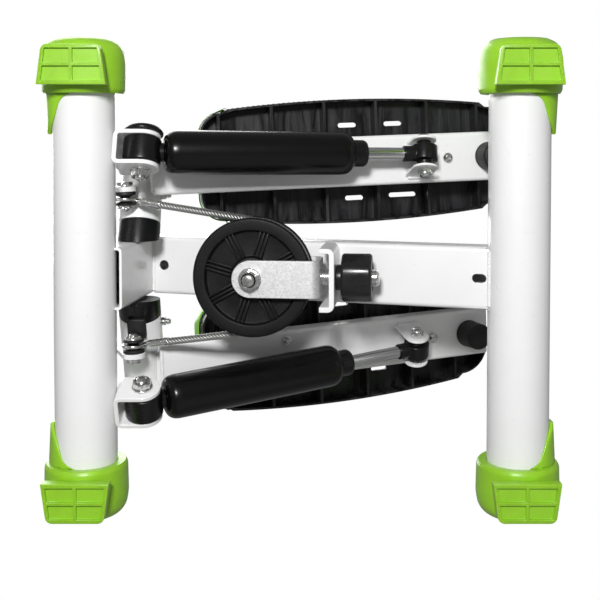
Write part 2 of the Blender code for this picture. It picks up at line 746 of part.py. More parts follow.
def build_cable_lug(side_name, side, hang, white, steel, rubber):
    """The tab under the pivot tube, with the bolt and the grommet that hold the cable's eye."""
    x, y, z = LUG_DECK
    matrix = end_frame((side * x, y, z), (side, 0, 0), (0, 0, -1))
    saddle = moved(pivot_cutter(), matrix.inverted() @ pivot_in_deck(side))
    tab = prism(tongue_outline(32, LUG_HALF), *LUG_TAB)
    hole = turned(pin(LUG_BOLT_RADIUS + 0.4, -40, 40), 12)
    piece(f"{side_name}_cable_lug", white, tab, hang, matrix, cut=[saddle, hole])
    profile = bolt_profile(LUG_BOLT_RADIUS, -11.7, 17.0, 4.3, 3.2, 7.5)
    piece(f"{side_name}_cable_bolt", steel, turned(profile, 12), hang, matrix)
    bore, core, flange = LUG_BOLT_RADIUS + GAP, LUG_BOLT_RADIUS + 1, GROMMET_FLANGE
    grommet = turned([(bore, -5.7), (flange, -5.7), (flange, -3.0), (core, -3.0), (core, 3.0),
                      (flange, 3.0), (flange, 6.9), (bore, 6.9)], 16)
    piece(f"{side_name}_cable_grommet", rubber, grommet, hang, matrix)


# ---- hydraulic cylinders ----------------------------------------------------------------------

def eye_profile(radius, half, edge):
    """Profile of a barrel across a rod, with its edges taken off."""
    return [(0, -half), (radius - edge, -half), (radius, edge - half), (radius, half - edge),
            (radius - edge, half), (0, half)]


def build_cylinder(side_name, side, rubber, plastic, chrome):
    """Sleeve, lower eye and gland on one joint; piston rod and rod eye sliding on the other."""
    matrix = cylinder_matrix(side)
    barrel = joint_frame(f"{side_name}_cylinder_joint", matrix)
    rod = joint_frame(f"{side_name}_rod_joint", Matrix.Translation((0, 0, cylinder_length(side))),
                      barrel)
    low, high = SLEEVE_SPAN
    radius, cavity = SLEEVE_RADIUS, CAVITY_RADIUS
    sleeve = turned([(0, low), (radius - 8, low), (radius - 3.5, low + 2), (radius - 0.8, low + 6),
                     (radius, low + 11), (radius, high - 11), (radius - 0.8, high - 6),
                     (radius - 3.5, high - 2), (radius - 6.5, high), (cavity, high),
                     (cavity, low + 8), (0, low + 8)], 24)
    piece(f"{side_name}_cylinder_sleeve", rubber, sleeve, barrel)
    to_barrel = matrix.inverted().to_3x3()
    across = frame((0, 0, 0), to_barrel @ cylinder_axis(side), (0, 1, 0))
    neck = turned(pin(9, 8, low - GAP), 16)
    bore = moved(turned(pin(BOLT_RADIUS + 0.4, -30, 30), 16), across)
    eye = moved(turned(eye_profile(EYE_RADIUS, EYE_HALF, 1.2), 24), across)
    piece(f"{side_name}_cylinder_eye", rubber, eye, barrel, add=[neck], cut=[bore])
    gland_bore = ROD_RADIUS + 0.4
    gland = turned([(gland_bore, high - 12), (cavity - GAP, high - 12), (cavity - GAP, high + GAP),
                    (13.2, high + GAP), (13.2, GLAND_END - 3), (11.5, GLAND_END),
                    (gland_bore, GLAND_END)], 16)
    piece(f"{side_name}_cylinder_gland", plastic, gland, barrel)
    piston = cavity - 0.7
    grip = COLLAR_GRIP - COLLAR_LENGTH
    shaft = turned([(0, -ROD_TAIL), (piston, -ROD_TAIL), (piston, PISTON_LENGTH - ROD_TAIL),
                    (ROD_RADIUS, PISTON_LENGTH - ROD_TAIL), (ROD_RADIUS, grip), (0, grip)], 16)
    piece(f"{side_name}_piston_rod", chrome, shaft, rod)
    collar_bore, seat = ROD_RADIUS + GAP, grip + GAP
    collar = turned([(collar_bore, -COLLAR_LENGTH), (COLLAR_RADIUS, -COLLAR_LENGTH),
                     (COLLAR_RADIUS, -8), (0, -8), (0, seat), (collar_bore, seat)], 16)
    at_clevis = frame((0, 0, 0), to_barrel @ outward(side), (0, 1, 0))
    ring, half = ROD_EYE_RADIUS, ROD_EYE_HALF
    spacer, spacer_half = ROD_EYE_SPACER
    head = turned([(0, -spacer_half), (spacer, -spacer_half), (spacer, -half), (ring, -half),
                   (ring, half), (spacer, half), (spacer, spacer_half), (0, spacer_half)], 16)
    hole = turned(pin(ROD_EYE_BORE, -20, 20), 16)
    piece(f"{side_name}_rod_eye", plastic, collar, rod, add=[moved(head, at_clevis)],
          cut=[moved(hole, at_clevis)])


# ---- pulley, adjuster and cable ---------------------------------------------------------------

def along_screw():
    """In the pulley frame, the frame whose z axis runs rearward along the adjuster screw."""
    return frame((0, 0, 0), (0, 1, 0), (1, 0, 0))


def screw_cutter():
    return moved(turned(pin(SCREW_RADIUS + GAP, 50, 100), 16), along_screw())


def build_wheel(plastic):
    wheel = joint_frame("pulley_joint", pulley_matrix())
    half, rim = PULLEY_HALF, PULLEY_RADIUS
    inner, outer = RECESS_SPAN
    floor = half - RECESS_DEPTH
    groove_half, groove_floor, groove_bed = GROOVE
    face = [(AXLE_BORE, half + HUB_RISE), (inner - 1, half + HUB_RISE), (inner, floor),
            (outer, floor), (outer + 1.5, half), (rim - RIM_LIP, half), (rim, half - RIM_LIP),
            (rim, groove_half), (groove_floor, groove_bed)]
    profile = face + [(radius, -height) for radius, height in reversed(face)]
    piece("pulley_wheel", plastic, turned(profile, 36), wheel)


def build_yoke(steel):
    """The strap folded round the wheel, and the bolt that the wheel turns on."""
    matrix = pulley_matrix()
    half = YOKE_WIDTH / 2
    near, far = -YOKE_GAP - STRAP, YOKE_GAP
    outline = [(x, -y) for x, y in tongue_outline(YOKE_WEB_Y + STRAP / 2, half)]
    straps = [prism(outline, low, low + STRAP) for low in (near, far)]
    web = block((-half, half), (YOKE_WEB_Y, YOKE_WEB_Y + STRAP), (near, far + STRAP))
    axle_hole = turned(pin(AXLE_RADIUS + GAP, -40, 40), 16)
    piece("pulley_yoke", steel, web, place=matrix, add=straps, cut=[axle_hole, screw_cutter()])
    out = YOKE_GAP + STRAP + GAP
    bolt = turned(bolt_profile(AXLE_RADIUS, -out - 10.5, out + 5, 5, 7.5, 10), 12)
    piece("pulley_bolt", steel, bolt, place=matrix)


def build_adjuster(steel, white):
    """The plate under the beam that the screw passes through, and the screw."""
    matrix = pulley_matrix()
    to_pulley = matrix.inverted() @ beam_matrix()
    seat, below = to_pulley @ Vector((0, 0, -GAP)), to_pulley.to_3x3() @ Vector((0, 0, -1))
    half, height = BEAM_WIDTH / 2, (PLATE_LOW, PLATE_HIGH)
    plate = sliced(block((-half, half), (PLATE_Y, PLATE_Y + PLATE_THICK), height), seat, below)
    lips = [sliced(block((x0, x0 + PLATE_THICK), (PLATE_Y - LIP_REACH, PLATE_Y + 1), height),
                   seat, below) for x0 in (-half, half - PLATE_THICK)]
    piece("adjuster_plate", white, plate, place=matrix, add=lips, cut=[screw_cutter()])
    flange, flange_thick = SCREW_FLANGE
    back = YOKE_WEB_Y - flange_thick
    front = YOKE_WEB_Y - GAP
    screw = turned([(0, back), (flange, back), (flange, front), (SCREW_RADIUS, front),
                    (SCREW_RADIUS, SCREW_END - 1.5), (SCREW_RADIUS - 1.2, SCREW_END),
                    (0, SCREW_END)])
    piece("adjuster_screw", steel, moved(screw, along_screw()), place=matrix)


def knob_section(height, radius):
    """Outline of the knob with shallow flutes between its lobes."""
    points = []
    count = KNOB_LOBES * 5
    for k in range(count):
        angle = 2 * pi * k / count
        reach = radius * (1 - 0.03 * (1 - cos(KNOB_LOBES * angle)))
        points.append((reach * cos(angle), reach * sin(angle), height))
    return points


def build_knob(plastic):
    turning = joint_frame("adjuster_knob_joint", pulley_matrix() @ along_screw())
    low, high = KNOB_SPAN
    rim = KNOB_RADIUS - KNOB_BEVEL
    body = lofted([knob_section(low, rim), knob_section(low + KNOB_BEVEL, KNOB_RADIUS),
                   knob_section(high - KNOB_BEVEL, KNOB_RADIUS), knob_section(high, rim)])
    face = PLATE_Y + PLATE_THICK + GAP
    collar = turned(pin(KNOB_COLLAR, face, low + 2), 24)
    bore = turned(pin(SCREW_RADIUS + GAP, face - 5, high + 5), 24)
    piece("adjuster_knob", plastic, body, turning, add=[collar], cut=[bore])


def build_cable_end(side_name, side, hang, steel):
    """Eye and crimped ferrule, which stay in line with the cable as the arm turns."""
    lug = on_deck(side, LUG_DECK)
    joint = joint_frame(f"{side_name}_cable_end_joint", deck_matrix(side).inverted()
                        @ Matrix.Translation(lug), hang)
    eye = moved(turned([(6.2, -1.8), (11, -1.8), (11, 1.8), (6.2, 1.8)], 16),
                frame((0, 0, 0), (1, 0, 0), (0, 1, 0)))
    along = frame((0, 0, 0), strand_direction(side), (1, 0, 0))
    start, end = FERRULE_SPAN
    ferrule = turned([(0, start), (3.0, start), (FERRULE_RADIUS, start + 6),
                      (FERRULE_RADIUS, end), (0, end)], 12)
    piece(f"{side_name}_cable_end", steel, eye, joint, add=[moved(ferrule, along)])


def cable_route():
    """Ferrule to ferrule: a straight strand, round the rear of the pulley, a straight strand."""
    matrix = pulley_matrix()
    start, end = (on_deck(side, LUG_DECK) + strand_direction(side) * (FERRULE_SPAN[1] + GAP)
                  for side in (1, -1))
    first, last = (matrix.inverted() @ rope_tangent(side) for side in (1, -1))
    first_angle, last_angle = atan2(first.y, first.x), atan2(last.y, last.x)
    if last_angle < first_angle:
        last_angle += 2 * pi
    points = [start.lerp(rope_tangent(1), share) for share in (0, 0.2, 0.4, 0.6, 0.8)]
    for step in range(15):
        angle = first_angle + (last_angle - first_angle) * step / 14
        points.append(matrix @ Vector((ROPE_LINE * cos(angle), ROPE_LINE * sin(angle), 0)))
    points += [rope_tangent(-1).lerp(end, share) for share in (0.2, 0.4, 0.6, 0.8, 1)]
    return points


def build_cable(steel):
    curve = bpy.data.curves.new("cable", "CURVE")
    curve.dimensions = "3D"
    points = cable_route()
    spline = curve.splines.new("POLY")
    spline.points.add(len(points) - 1)
    for place, point in zip(spline.points, points):
        place.co = (*(point * MM), 1.0)
    curve.bevel_depth = ROPE_RADIUS * MM
    curve.bevel_resolution = 2
    curve.use_fill_caps = True
    curve.materials.append(steel)
    bpy.context.scene.collection.objects.link(bpy.data.objects.new("cable", curve))


def main():
    clear_scene()
    white = material("white_paint", (0.83, 0.83, 0.83), 0.35)
    green = material("green_plastic", (0.30, 0.63, 0.02), 0.38)
    black = material("black_plastic", (0.012, 0.012, 0.013), 0.45)
    rubber = material("black_rubber", (0.010, 0.010, 0.010), 0.55)
    zinc = material("zinc_steel", (0.62, 0.62, 0.61), 0.32, 1.0)
    chrome = material("chrome", (0.75, 0.75, 0.76), 0.12, 1.0)
    build_cross_tubes(white)
    build_feet(green)
    build_beam(white)
    build_tower(white, black)
    build_wheel(black)
    build_yoke(zinc)
    build_adjuster(zinc, white)
    build_knob(black)
    build_cable(zinc)
    for name, side in SIDES.items():
        build_pivot_hardware(name, side, zinc, black)
        build_cylinder_bracket(name, side, white, zinc, black)
        hang = joint_frame(f"{name}_pedal_joint", deck_matrix(side))
        build_arm(name, side, hang, white)
        build_pedal(name, side, hang, black, green, zinc)
        build_bumper(name, hang, rubber)
        build_rod_clevis(name, side, hang, white, zinc)
        build_cable_lug(name, side, hang, white, zinc, rubber)
        build_cable_end(name, side, hang, zinc)
        build_cylinder(name, side, rubber, black, chrome)
        if side < 0:
            build_stop_pad(hang, rubber)


main()
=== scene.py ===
"""The looks of the twist stepper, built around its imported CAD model.

Lengths are millimetres in the part's own frame (+X the user's left, -Y the towered end) until a
mesh is made.
"""

import json
from math import acos, atan2, cos, pi, radians, sin, sqrt, tan

import bmesh
import bpy
from mathutils import Matrix, Vector


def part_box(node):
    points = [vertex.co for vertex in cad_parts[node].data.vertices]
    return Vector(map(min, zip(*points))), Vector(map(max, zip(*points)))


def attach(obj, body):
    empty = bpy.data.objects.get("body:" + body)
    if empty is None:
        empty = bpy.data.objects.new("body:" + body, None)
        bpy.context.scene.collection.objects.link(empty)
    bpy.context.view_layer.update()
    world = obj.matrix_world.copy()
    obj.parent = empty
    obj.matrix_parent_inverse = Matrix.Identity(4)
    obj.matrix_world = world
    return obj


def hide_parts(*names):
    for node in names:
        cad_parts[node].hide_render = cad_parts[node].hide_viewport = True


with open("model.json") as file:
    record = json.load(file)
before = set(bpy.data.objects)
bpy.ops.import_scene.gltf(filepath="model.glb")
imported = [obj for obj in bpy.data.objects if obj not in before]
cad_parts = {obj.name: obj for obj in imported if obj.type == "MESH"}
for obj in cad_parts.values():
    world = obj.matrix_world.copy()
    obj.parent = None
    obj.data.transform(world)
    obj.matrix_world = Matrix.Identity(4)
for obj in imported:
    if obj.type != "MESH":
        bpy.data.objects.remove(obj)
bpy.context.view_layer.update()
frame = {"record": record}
JOINTS = {joint["name"]: joint for joint in frame["record"]["behaviour"]["joints"]}

MM = 0.001
GAP = 0.3                 # between pieces that touch
SIDES = {"left": 1, "right": -1}


def in_mm(point):
    return tuple(round(value / MM, 2) for value in point)


# Cross tubes and feet
LOW, HIGH = (in_mm(corner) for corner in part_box("rear_cross_tube"))
TUBE_HALF, TUBE_RADIUS, TUBE_WALL = HIGH[0], (HIGH[2] - LOW[2]) / 2, 2.0
TUBE_Y, TUBE_Z = (HIGH[1] + LOW[1]) / 2, (HIGH[2] + LOW[2]) / 2
FOOT_BODY = [(170.0, 36.0), (173.0, 38.0), (200.0, 38.6), (211.0, 36.6), (217.0, 32.0), (220.0, 25.0)]
FOOT_FLOOR = 7.5          # underside of the foot's body
PAD_INNER_X, PAD_OUTER_X, PAD_INNER_HALF, PAD_OUTER_HALF = 176.5, 212.0, 30.5, 26.0
PAD_CORNER, PAD_RIM, PAD_RIB_HALF, PAD_RECESS = 6.5, 3.6, 1.4, 3.0
TONGUE_TIP_X, TONGUE_THICK = 133.0, 6.0
TONGUE_EDGE = [(0.0, 86), (0.1, 82), (0.15, 70), (0.2, 62), (0.3, 55), (0.45, 49), (0.6, 43),
               (0.75, 34), (0.87, 24), (0.95, 16), (1.0, 11)]     # half angle along the tongue

# Beam and tower
BEAM_WIDTH, BEAM_DEPTH, BEAM_WALL, BEAM_SLOPE = 58.4, 30.0, 2.0, 17.3
BEAM_FRONT_Y, BEAM_FRONT_Z = -153.5, 145.0
BEAM_REACH = (TUBE_Y - BEAM_FRONT_Y) / cos(radians(BEAM_SLOPE))
TOWER_LEAN, TOWER_DEPTH, TOWER_FOOT_Z, TOWER_TOP_Z, TOWER_WALL = 6.6, 45.0, 42.0, 184.0, 2.5
LID_THICK, LID_PLUG = 3.7, 14.0

# Pedal pivots: each axis rises outward by TILT
TILT, PIVOT_X, PIVOT_Y, PIVOT_Z = 21.0, 29.2, -162.0, 110.0
PIVOT_TUBE_RADIUS, PIVOT_TUBE_SPAN = 20.5, (17.5, 99.5)
SHAFT_RADIUS, BUSH_RADIUS, BUSH_FLANGE, BUSH_PLAY = 10.0, 12.2, 20.6, 0.4

# Pedal arms, in the deck frame: x outward from the arm's middle, y along the arm, z up
DECK_X, DECK_SLOPE, DECK_LEAN = 98.0, 16.0, 6.0
DECK_REACH = (DECK_X - PIVOT_X) / cos(radians(TILT))
ARM_WIDTH, ARM_TOP, ARM_BOTTOM, ARM_SPAN, ARM_WALL = 50.0, -22.0, -47.0, (8.0, 372.0), 2.0
CHEEK_WALL, CHEEK_SPAN, CHEEK_HEIGHT = 5.0, (-14.0, 38.0), (-41.0, -6.0)
STOP_PAD_HALF, STOP_PAD_DEPTH, STOP_PAD_SPAN = 9.0, (12.0, 24.2), (-64.0, -43.0)
PEDAL_SPAN, PEDAL_HALF, PEDAL_HEIGHT, PEDAL_SKIN = (56.0, 388.0), 64.0, 22.0, 3.0
PEDAL_MIDDLE, PEDAL_TAPER, PEDAL_TAPER_RUN = 212.0, 8.5, 146.0
PEDAL_CORNERS = (24.0, 33.0)      # radii at the front and rear end
PEDAL_RIBS, RIB_HALF = [76.0 + 54.0 * k for k in range(6)], 1.5
PEDAL_SLOTS, SLOT_HALF = ((37, 211, 9.5), (37, 260, 9.5), (-39, 216, 9.5), (-38, 268, 14.5)), 2.4
RIDGES, RIDGE_PITCH, RIDGE_HALF = 36, 8.6, 60.0
TRIM_LENGTH, TRIM_REACH = 30.0, 2.2
PEDAL_SCREW_Y, ARM_SCREW = 305.0, (16.0, 138.0, 0.0)
BUMPER_Y, BUMPER_RADIUS, BUMPER_HEIGHT = 348.5, 14.5, 27.0
SET_SCREW_PLACES = {"left": 46.5, "right": 25.0}      # along the pivot axis

# Hydraulic cylinders
CYLINDER_FOOT = in_mm(JOINTS["left_cylinder_pivot"]["pos_m"])
CYLINDER_TILT, ROD_EYE_DECK = 22.6, (5.0, 275.0, -67.0)
SLEEVE_RADIUS, SLEEVE_SPAN, GLAND_END, ROD_RADIUS = 20.8, (20.0, 202.0), 216.0, 6.2
EYE_RADIUS, EYE_HALF, COLLAR_LENGTH, BOLT_RADIUS = 17.6, 12.2, 22.0, 5.0
ROD_TAIL, PISTON_LENGTH = 217.0, 12.0

# Pulley, adjuster and cable
PULLEY_AT, PULLEY_SLOPE = in_mm(JOINTS["pulley_spin"]["pos_m"]), 6.0
PULLEY_RADIUS, PULLEY_HALF, ROPE_LINE = 55.7, 13.0, 52.0
YOKE_WIDTH, YOKE_GAP, STRAP, YOKE_WEB_Y = 34.6, 17.5, 4.0, 60.0
PLATE_Y, PLATE_THICK, PLATE_LOW, PLATE_HIGH = 73.0, 4.8, -24.0, 60.0
KNOB_SPAN, KNOB_RADIUS, SCREW_RADIUS, SCREW_END = (83.0, 111.5), 22.5, 8.0, 118.0
LUG_DECK, FERRULE_SPAN, FERRULE_RADIUS = (-27.0, -18.0, -44.0), (9.6, 36.0), 4.2
STRANDS, STRAND_RADIUS, STRAND_RING, ROPE_PITCH, CORE_RADIUS = 5, 0.9, 2.75, 16.0, 1.9
RUN_ON, TURN_ON = -12.0, 18.0     # ends of the rope's parts along the strand, past the tangent point

# Light and camera, in metres
WORLD_BELOW, WORLD_ABOVE = 0.19, 0.30
LIT_POINT = Vector((0.0, 0.0, 0.10))
LIGHTS = (("key", (0.62, -0.12, -1.20), 0.20, 20.5), ("fill", (-0.8, 0.4, -0.9), 1.4, 1.2),
          ("top", (0.5, -0.7, 1.6), 1.6, 36.0))       # name, place, size and watts
CAMERA_AT, CAMERA_PITCH, CAMERA_LENS = Vector((0.1324, 0.0167, -0.880)), 2.2, 60.5
SENSOR_WIDTH, FRAMING = 36.0, (-0.0333, -0.275)


class Finish:
    """A Principled material whose colour, roughness and relief come from procedural textures."""

    def __init__(self, name, **sockets):
        self.material = bpy.data.materials.new(name)
        self.material.use_nodes = True
        self.tree = self.material.node_tree
        self.shader = self.tree.nodes["Principled BSDF"]
        for socket, value in sockets.items():
            self.shader.inputs[socket.replace("_", " ")].default_value = value
        self.place = self.node("ShaderNodeTexCoord").outputs["Object"]

    def node(self, kind, **values):
        made = self.tree.nodes.new(kind)
        for key, value in values.items():
            setattr(made, key, value)
        return made

    def join(self, source, target):
        self.tree.links.new(source, target)

    def stretched(self, factors):
        mapping = self.node("ShaderNodeMapping")
        mapping.inputs["Scale"].default_value = factors
        self.join(self.place, mapping.inputs["Vector"])
        return mapping.outputs["Vector"]

    def noise(self, scale, detail=3.0, roughness=0.55, stretch=None, distortion=0.0):
        made = self.node("ShaderNodeTexNoise")
        made.inputs["Scale"].default_value = scale
        made.inputs["Detail"].default_value = detail
        made.inputs["Roughness"].default_value = roughness
        made.inputs["Distortion"].default_value = distortion
        self.join(self.stretched(stretch) if stretch else self.place, made.inputs["Vector"])
        return made.outputs["Fac"]

    def cells(self, scale, output="Color"):
        made = self.node("ShaderNodeTexVoronoi")
        made.inputs["Scale"].default_value = scale
        self.join(self.place, made.inputs["Vector"])
        return made.outputs[output]

    def ramp(self, factor, *stops):
        made = self.node("ShaderNodeValToRGB")
        elements = made.color_ramp.elements
        while len(elements) < len(stops):
            elements.new(0.5)
        for element, (place, value) in zip(elements, stops):
            element.position = place
            colour = value if isinstance(value, tuple) else (value, value, value)
            element.color = (*colour, 1.0)
        self.join(factor, made.inputs["Fac"])
        return made.outputs["Color"]

    def mixed(self, factor, first, second, blend="MIX"):
        made = self.node("ShaderNodeMix", data_type="RGBA", blend_type=blend)
        sockets = [made.inputs[0], made.inputs[6], made.inputs[7]]
        for socket, value in zip(sockets, (factor, first, second)):
            if isinstance(value, (int, float)):
                socket.default_value = value
            elif isinstance(value, tuple):
                socket.default_value = (*value, 1.0)
            else:
                self.join(value, socket)
        return made.outputs[2]

    def colour(self, source):
        self.join(source, self.shader.inputs["Base Color"])

    def rough(self, source):
        self.join(source, self.shader.inputs["Roughness"])

    def relief(self, *layers):
        """Bumps from (height, strength, distance in mm) layers, each on top of the one before."""
        normal = None
        for height, strength, distance in layers:
            bump = self.node("ShaderNodeBump")
            bump.inputs["Strength"].default_value = strength
            bump.inputs["Distance"].default_value = distance * MM
            self.join(height, bump.inputs["Height"])
            if normal:
                self.join(normal, bump.inputs["Normal"])
            normal = bump.outputs["Normal"]
        self.join(normal, self.shader.inputs["Normal"])


def shade(colour, factor):
    return tuple(channel * factor for channel in colour)


def paint_finish(name, level=0.83):
    """Powder coat: faint orange peel under a clear gloss, with a trace of dust."""
    made = Finish(name, Coat_Weight=0.35, Coat_Roughness=0.12)
    patches = made.ramp(made.noise(28, 4), (0.3, level * 0.975), (0.7, level))
    dust = made.ramp(made.noise(650, 2), (0.24, 0.93), (0.34, 1.0))
    made.colour(made.mixed(1.0, patches, dust, "MULTIPLY"))
    made.rough(made.ramp(made.noise(160, 3), (0.3, 0.27), (0.7, 0.38)))
    made.relief((made.noise(420, 2), 0.06, 0.4), (made.noise(1500, 2), 0.04, 0.15))
    return made.material


def moulded_finish(name, colour, rough=0.42, grain=1600, relief=0.12, lift=1.35, **sockets):
    """Injection-moulded plastic: fine spark grain, soft flow marks and a rubbed, shinier film."""
    made = Finish(name, **sockets)
    flow = made.ramp(made.noise(18, 5, 0.6, distortion=0.6), (0.3, shade(colour, 0.86)),
                     (0.7, shade(colour, 1.1)))
    specks = made.ramp(made.noise(grain, 2), (0.52, 0.0), (0.7, 1.0))
    made.colour(made.mixed(specks, flow, shade(colour, lift)))
    made.rough(made.ramp(made.noise(60, 4), (0.3, rough - 0.07), (0.72, rough + 0.08)))
    made.relief((made.noise(grain, 2), relief, 0.2), (made.noise(90, 3), 0.08, 0.4))
    return made.material


def pedal_finish(name):
    """Moulded black plastic with long dull and shiny wipes across it."""
    made = Finish(name, Specular_IOR_Level=0.35)
    wipes = made.noise(16, 5, 0.62, stretch=(0.5, 4.0, 1.0), distortion=1.6)
    specks = made.ramp(made.noise(1300, 2), (0.55, 0.0), (0.72, 0.4))
    film = made.ramp(wipes, (0.40, (0.002, 0.002, 0.0025)), (0.70, (0.030, 0.030, 0.033)))
    made.colour(made.mixed(specks, film, (0.022, 0.022, 0.024)))
    made.rough(made.ramp(wipes, (0.36, 0.22), (0.68, 0.50)))
    made.relief((made.noise(1300, 2), 0.14, 0.2),
                (made.noise(26, 3, stretch=(0.4, 5.0, 1.0)), 0.16, 1.2))
    return made.material


def grained_finish(name):
    """Black nylon with a coarse, glittering spark grain."""
    made = Finish(name, Specular_IOR_Level=0.22)
    grain = made.noise(1150, 3, 0.7)
    made.colour(made.ramp(grain, (0.42, (0.0015, 0.0015, 0.0015)), (0.62, (0.007, 0.007, 0.0072)),
                          (0.74, (0.05, 0.05, 0.05))))
    made.rough(made.ramp(made.noise(70, 3), (0.3, 0.40), (0.7, 0.56)))
    made.relief((grain, 0.5, 0.35))
    return made.material


def steel_finish(name, colour, rough=0.24, streak=(1.0, 1.0, 1.0), scratch=0.03):
    """Bright plated steel: faint brushing, cloudy passivation and small pits."""
    made = Finish(name, Metallic=1.0)
    cloud = made.ramp(made.noise(120, 4, 0.65), (0.3, shade(colour, 0.86)), (0.72, colour))
    pits = made.ramp(made.noise(1900, 2), (0.22, 0.8), (0.34, 1.0))
    made.colour(made.mixed(1.0, cloud, pits, "MULTIPLY"))
    brushed = made.noise(900, 3, 0.6, stretch=streak)
    made.rough(made.ramp(brushed, (0.3, rough - 0.05), (0.72, rough + 0.08)))
    made.relief((brushed, scratch, 0.12))
    return made.material


def galvanised_finish(name):
    """Zinc-dipped strap: small bright spangles and grey speckle."""
    made = Finish(name, Metallic=0.75)
    spangle = made.ramp(made.cells(520), (0.1, 0.72), (0.9, 0.86))
    speckle = made.ramp(made.noise(950, 3, 0.75), (0.34, 0.72), (0.48, 0.94), (0.7, 1.0))
    made.colour(made.mixed(1.0, spangle, speckle, "MULTIPLY"))
    made.rough(made.ramp(made.noise(800, 3), (0.3, 0.36), (0.7, 0.6)))
    made.relief((made.noise(950, 3, 0.75), 0.12, 0.15))
    return made.material


def chrome_finish(name):
    """Ground and plated rod, with the grinding marks running along it."""
    made = Finish(name, Metallic=1.0)
    marks = made.noise(900, 3, 0.6, stretch=(1.0, 1.0, 0.02))
    made.colour(made.ramp(marks, (0.32, (0.36, 0.36, 0.35)), (0.62, (0.80, 0.80, 0.80))))
    made.rough(made.ramp(marks, (0.3, 0.10), (0.7, 0.24)))
    made.relief((marks, 0.14, 0.15))
    return made.material


def rubber_finish(name, colour=(0.006, 0.006, 0.006), rough=0.55, dust=0.05, shine=0.4, grain=0.12):
    """Black rubber with a dry bloom that gathers in soft patches."""
    made = Finish(name, Specular_IOR_Level=shine)
    bloom = made.ramp(made.noise(55, 5, 0.65), (0.4, 0.0), (0.78, dust * 6))
    made.colour(made.mixed(bloom, colour, (0.05, 0.05, 0.05)))
    made.rough(made.ramp(made.noise(240, 3), (0.3, rough - 0.4 * grain), (0.7, rough + 0.4 * grain)))
    made.relief((made.noise(700, 3), grain, 0.25), (made.noise(2600, 1), grain / 2, 0.1))
    return made.material


GREEN = (0.275, 0.56, 0.022)
FINISHES = {
    "white_paint": paint_finish("powder_coat"),
    "foot_green": moulded_finish("foot_green", GREEN, 0.34, 1500, 0.08, 1.12, Subsurface_Weight=0.08,
                                 Subsurface_Scale=0.002),
    "trim_green": moulded_finish("trim_green", (0.16, 0.42, 0.03), 0.36, 1500, 0.08, 1.15),
    "black_plastic": moulded_finish("black_plastic", (0.003, 0.003, 0.0032), 0.30, 1500, 0.08, 2.2,
                                    Specular_IOR_Level=0.35),
    "pedal": pedal_finish("pedal_plastic"),
    "pulley_plastic": grained_finish("pulley_nylon"),
    "knob_plastic": moulded_finish("knob_plastic", (0.008, 0.008, 0.008), 0.28, 1400, 0.08, 2.0,
                                   Specular_IOR_Level=0.45),
    "sleeve_black": rubber_finish("cylinder_sleeve", (0.002, 0.002, 0.002), 0.25, 0.003, 0.3, 0.03),
    "black_rubber": rubber_finish("rubber"),
    "zinc_steel": steel_finish("zinc_steel", (0.74, 0.74, 0.73)),
    "galvanised_steel": galvanised_finish("galvanised_steel"),
    "wire_rope": steel_finish("wire_strand", (0.58, 0.58, 0.57), 0.42),
    # the rope's core is near-black as painted shade: it darkens the grooves between the strands
    "rope_groove_shade": rubber_finish("wire_groove_shade", (0.004, 0.004, 0.004), 0.6, 0.01, 0.2),
    "chrome": chrome_finish("chrome_rod"),
}


# ---- meshes, in millimetres -------------------------------------------------------------------

def ring_point(radius, angle, hexagonal):
    """A point of a circle, or of a hexagon whose corners lie on that circle."""
    if hexagonal:
        within = (angle + pi / 6) % (pi / 3) - pi / 6
        radius = radius * cos(pi / 6) / cos(pi / 6 - abs(within))
    return radius * cos(angle), radius * sin(angle)


def turned(profile, sides=72):
    """A solid turned about z from (radius, height) points; a third entry makes that ring a hexagon.

    A profile that starts and ends on the axis is a plain solid; any other one is closed into a ring.
    """
    bm = bmesh.new()
    rings = []
    for point in profile:
        radius, height = point[0], point[1]
        if radius == 0:
            rings.append([bm.verts.new((0, 0, height))])
            continue
        around = [ring_point(radius, 2 * pi * k / sides, len(point) > 2) for k in range(sides)]
        rings.append([bm.verts.new((x, y, height)) for x, y in around])
    pairs = list(zip(rings, rings[1:]))
    if len(rings[0]) > 1 and len(rings[-1]) > 1:
        pairs.append((rings[-1], rings[0]))
    for low, high in pairs:
        for k in range(sides):
            after = (k + 1) % sides
            corners = [low[k % len(low)], low[after % len(low)],
                       high[after % len(high)], high[k % len(high)]]
            distinct = list(dict.fromkeys(corners))
            if len(distinct) > 2:
                bm.faces.new(distinct)
    bmesh.ops.recalc_face_normals(bm, faces=bm.faces)
    return bm


def eased(profile, radius=0.8, steps=3):
    """The profile with its corners rounded off, as far as the lengths between them allow."""
    made = []
    for index, point in enumerate(profile):
        here = Vector(point[:2])
        if index in (0, len(profile) - 1) or len(point) > 2:
            made.append(point)
            continue
        before, after = Vector(profile[index - 1][:2]), Vector(profile[index + 1][:2])
        back, on = (before - here), (after - here)
        reach = min(radius, back.length * 0.45, on.length * 0.45)
        start, end = here + back.normalized() * reach, here + on.normalized() * reach
        for step in range(steps + 1):
            share = step / steps
            spot = start * (1 - share) ** 2 + here * (2 * share * (1 - share)) + end * share ** 2
            made.append((spot.x, spot.y))
    return made


def pin(radius, low, high):
    return [(0, low), (radius, low), (radius, high), (0, high)]


def lofted(sections, closed=True):
    """A solid through matching outlines, each a list of points; closed adds flat ends."""
    bm = bmesh.new()
    rings = [[bm.verts.new(point) for point in section] for section in sections]
    for low, high in zip(rings, rings[1:]):
        for k in range(len(low)):
            after = (k + 1) % len(low)
            bm.faces.new([low[k], low[after], high[after], high[k]])
    if closed:
        bm.faces.new(rings[0])
        bm.faces.new(rings[-1])
    bmesh.ops.recalc_face_normals(bm, faces=bm.faces)
    return bm


def prism(outline, low, high):
    """A plate of the given xy outline between two heights."""
    return lofted([[(x, y, height) for x, y in outline] for height in (low, high)])


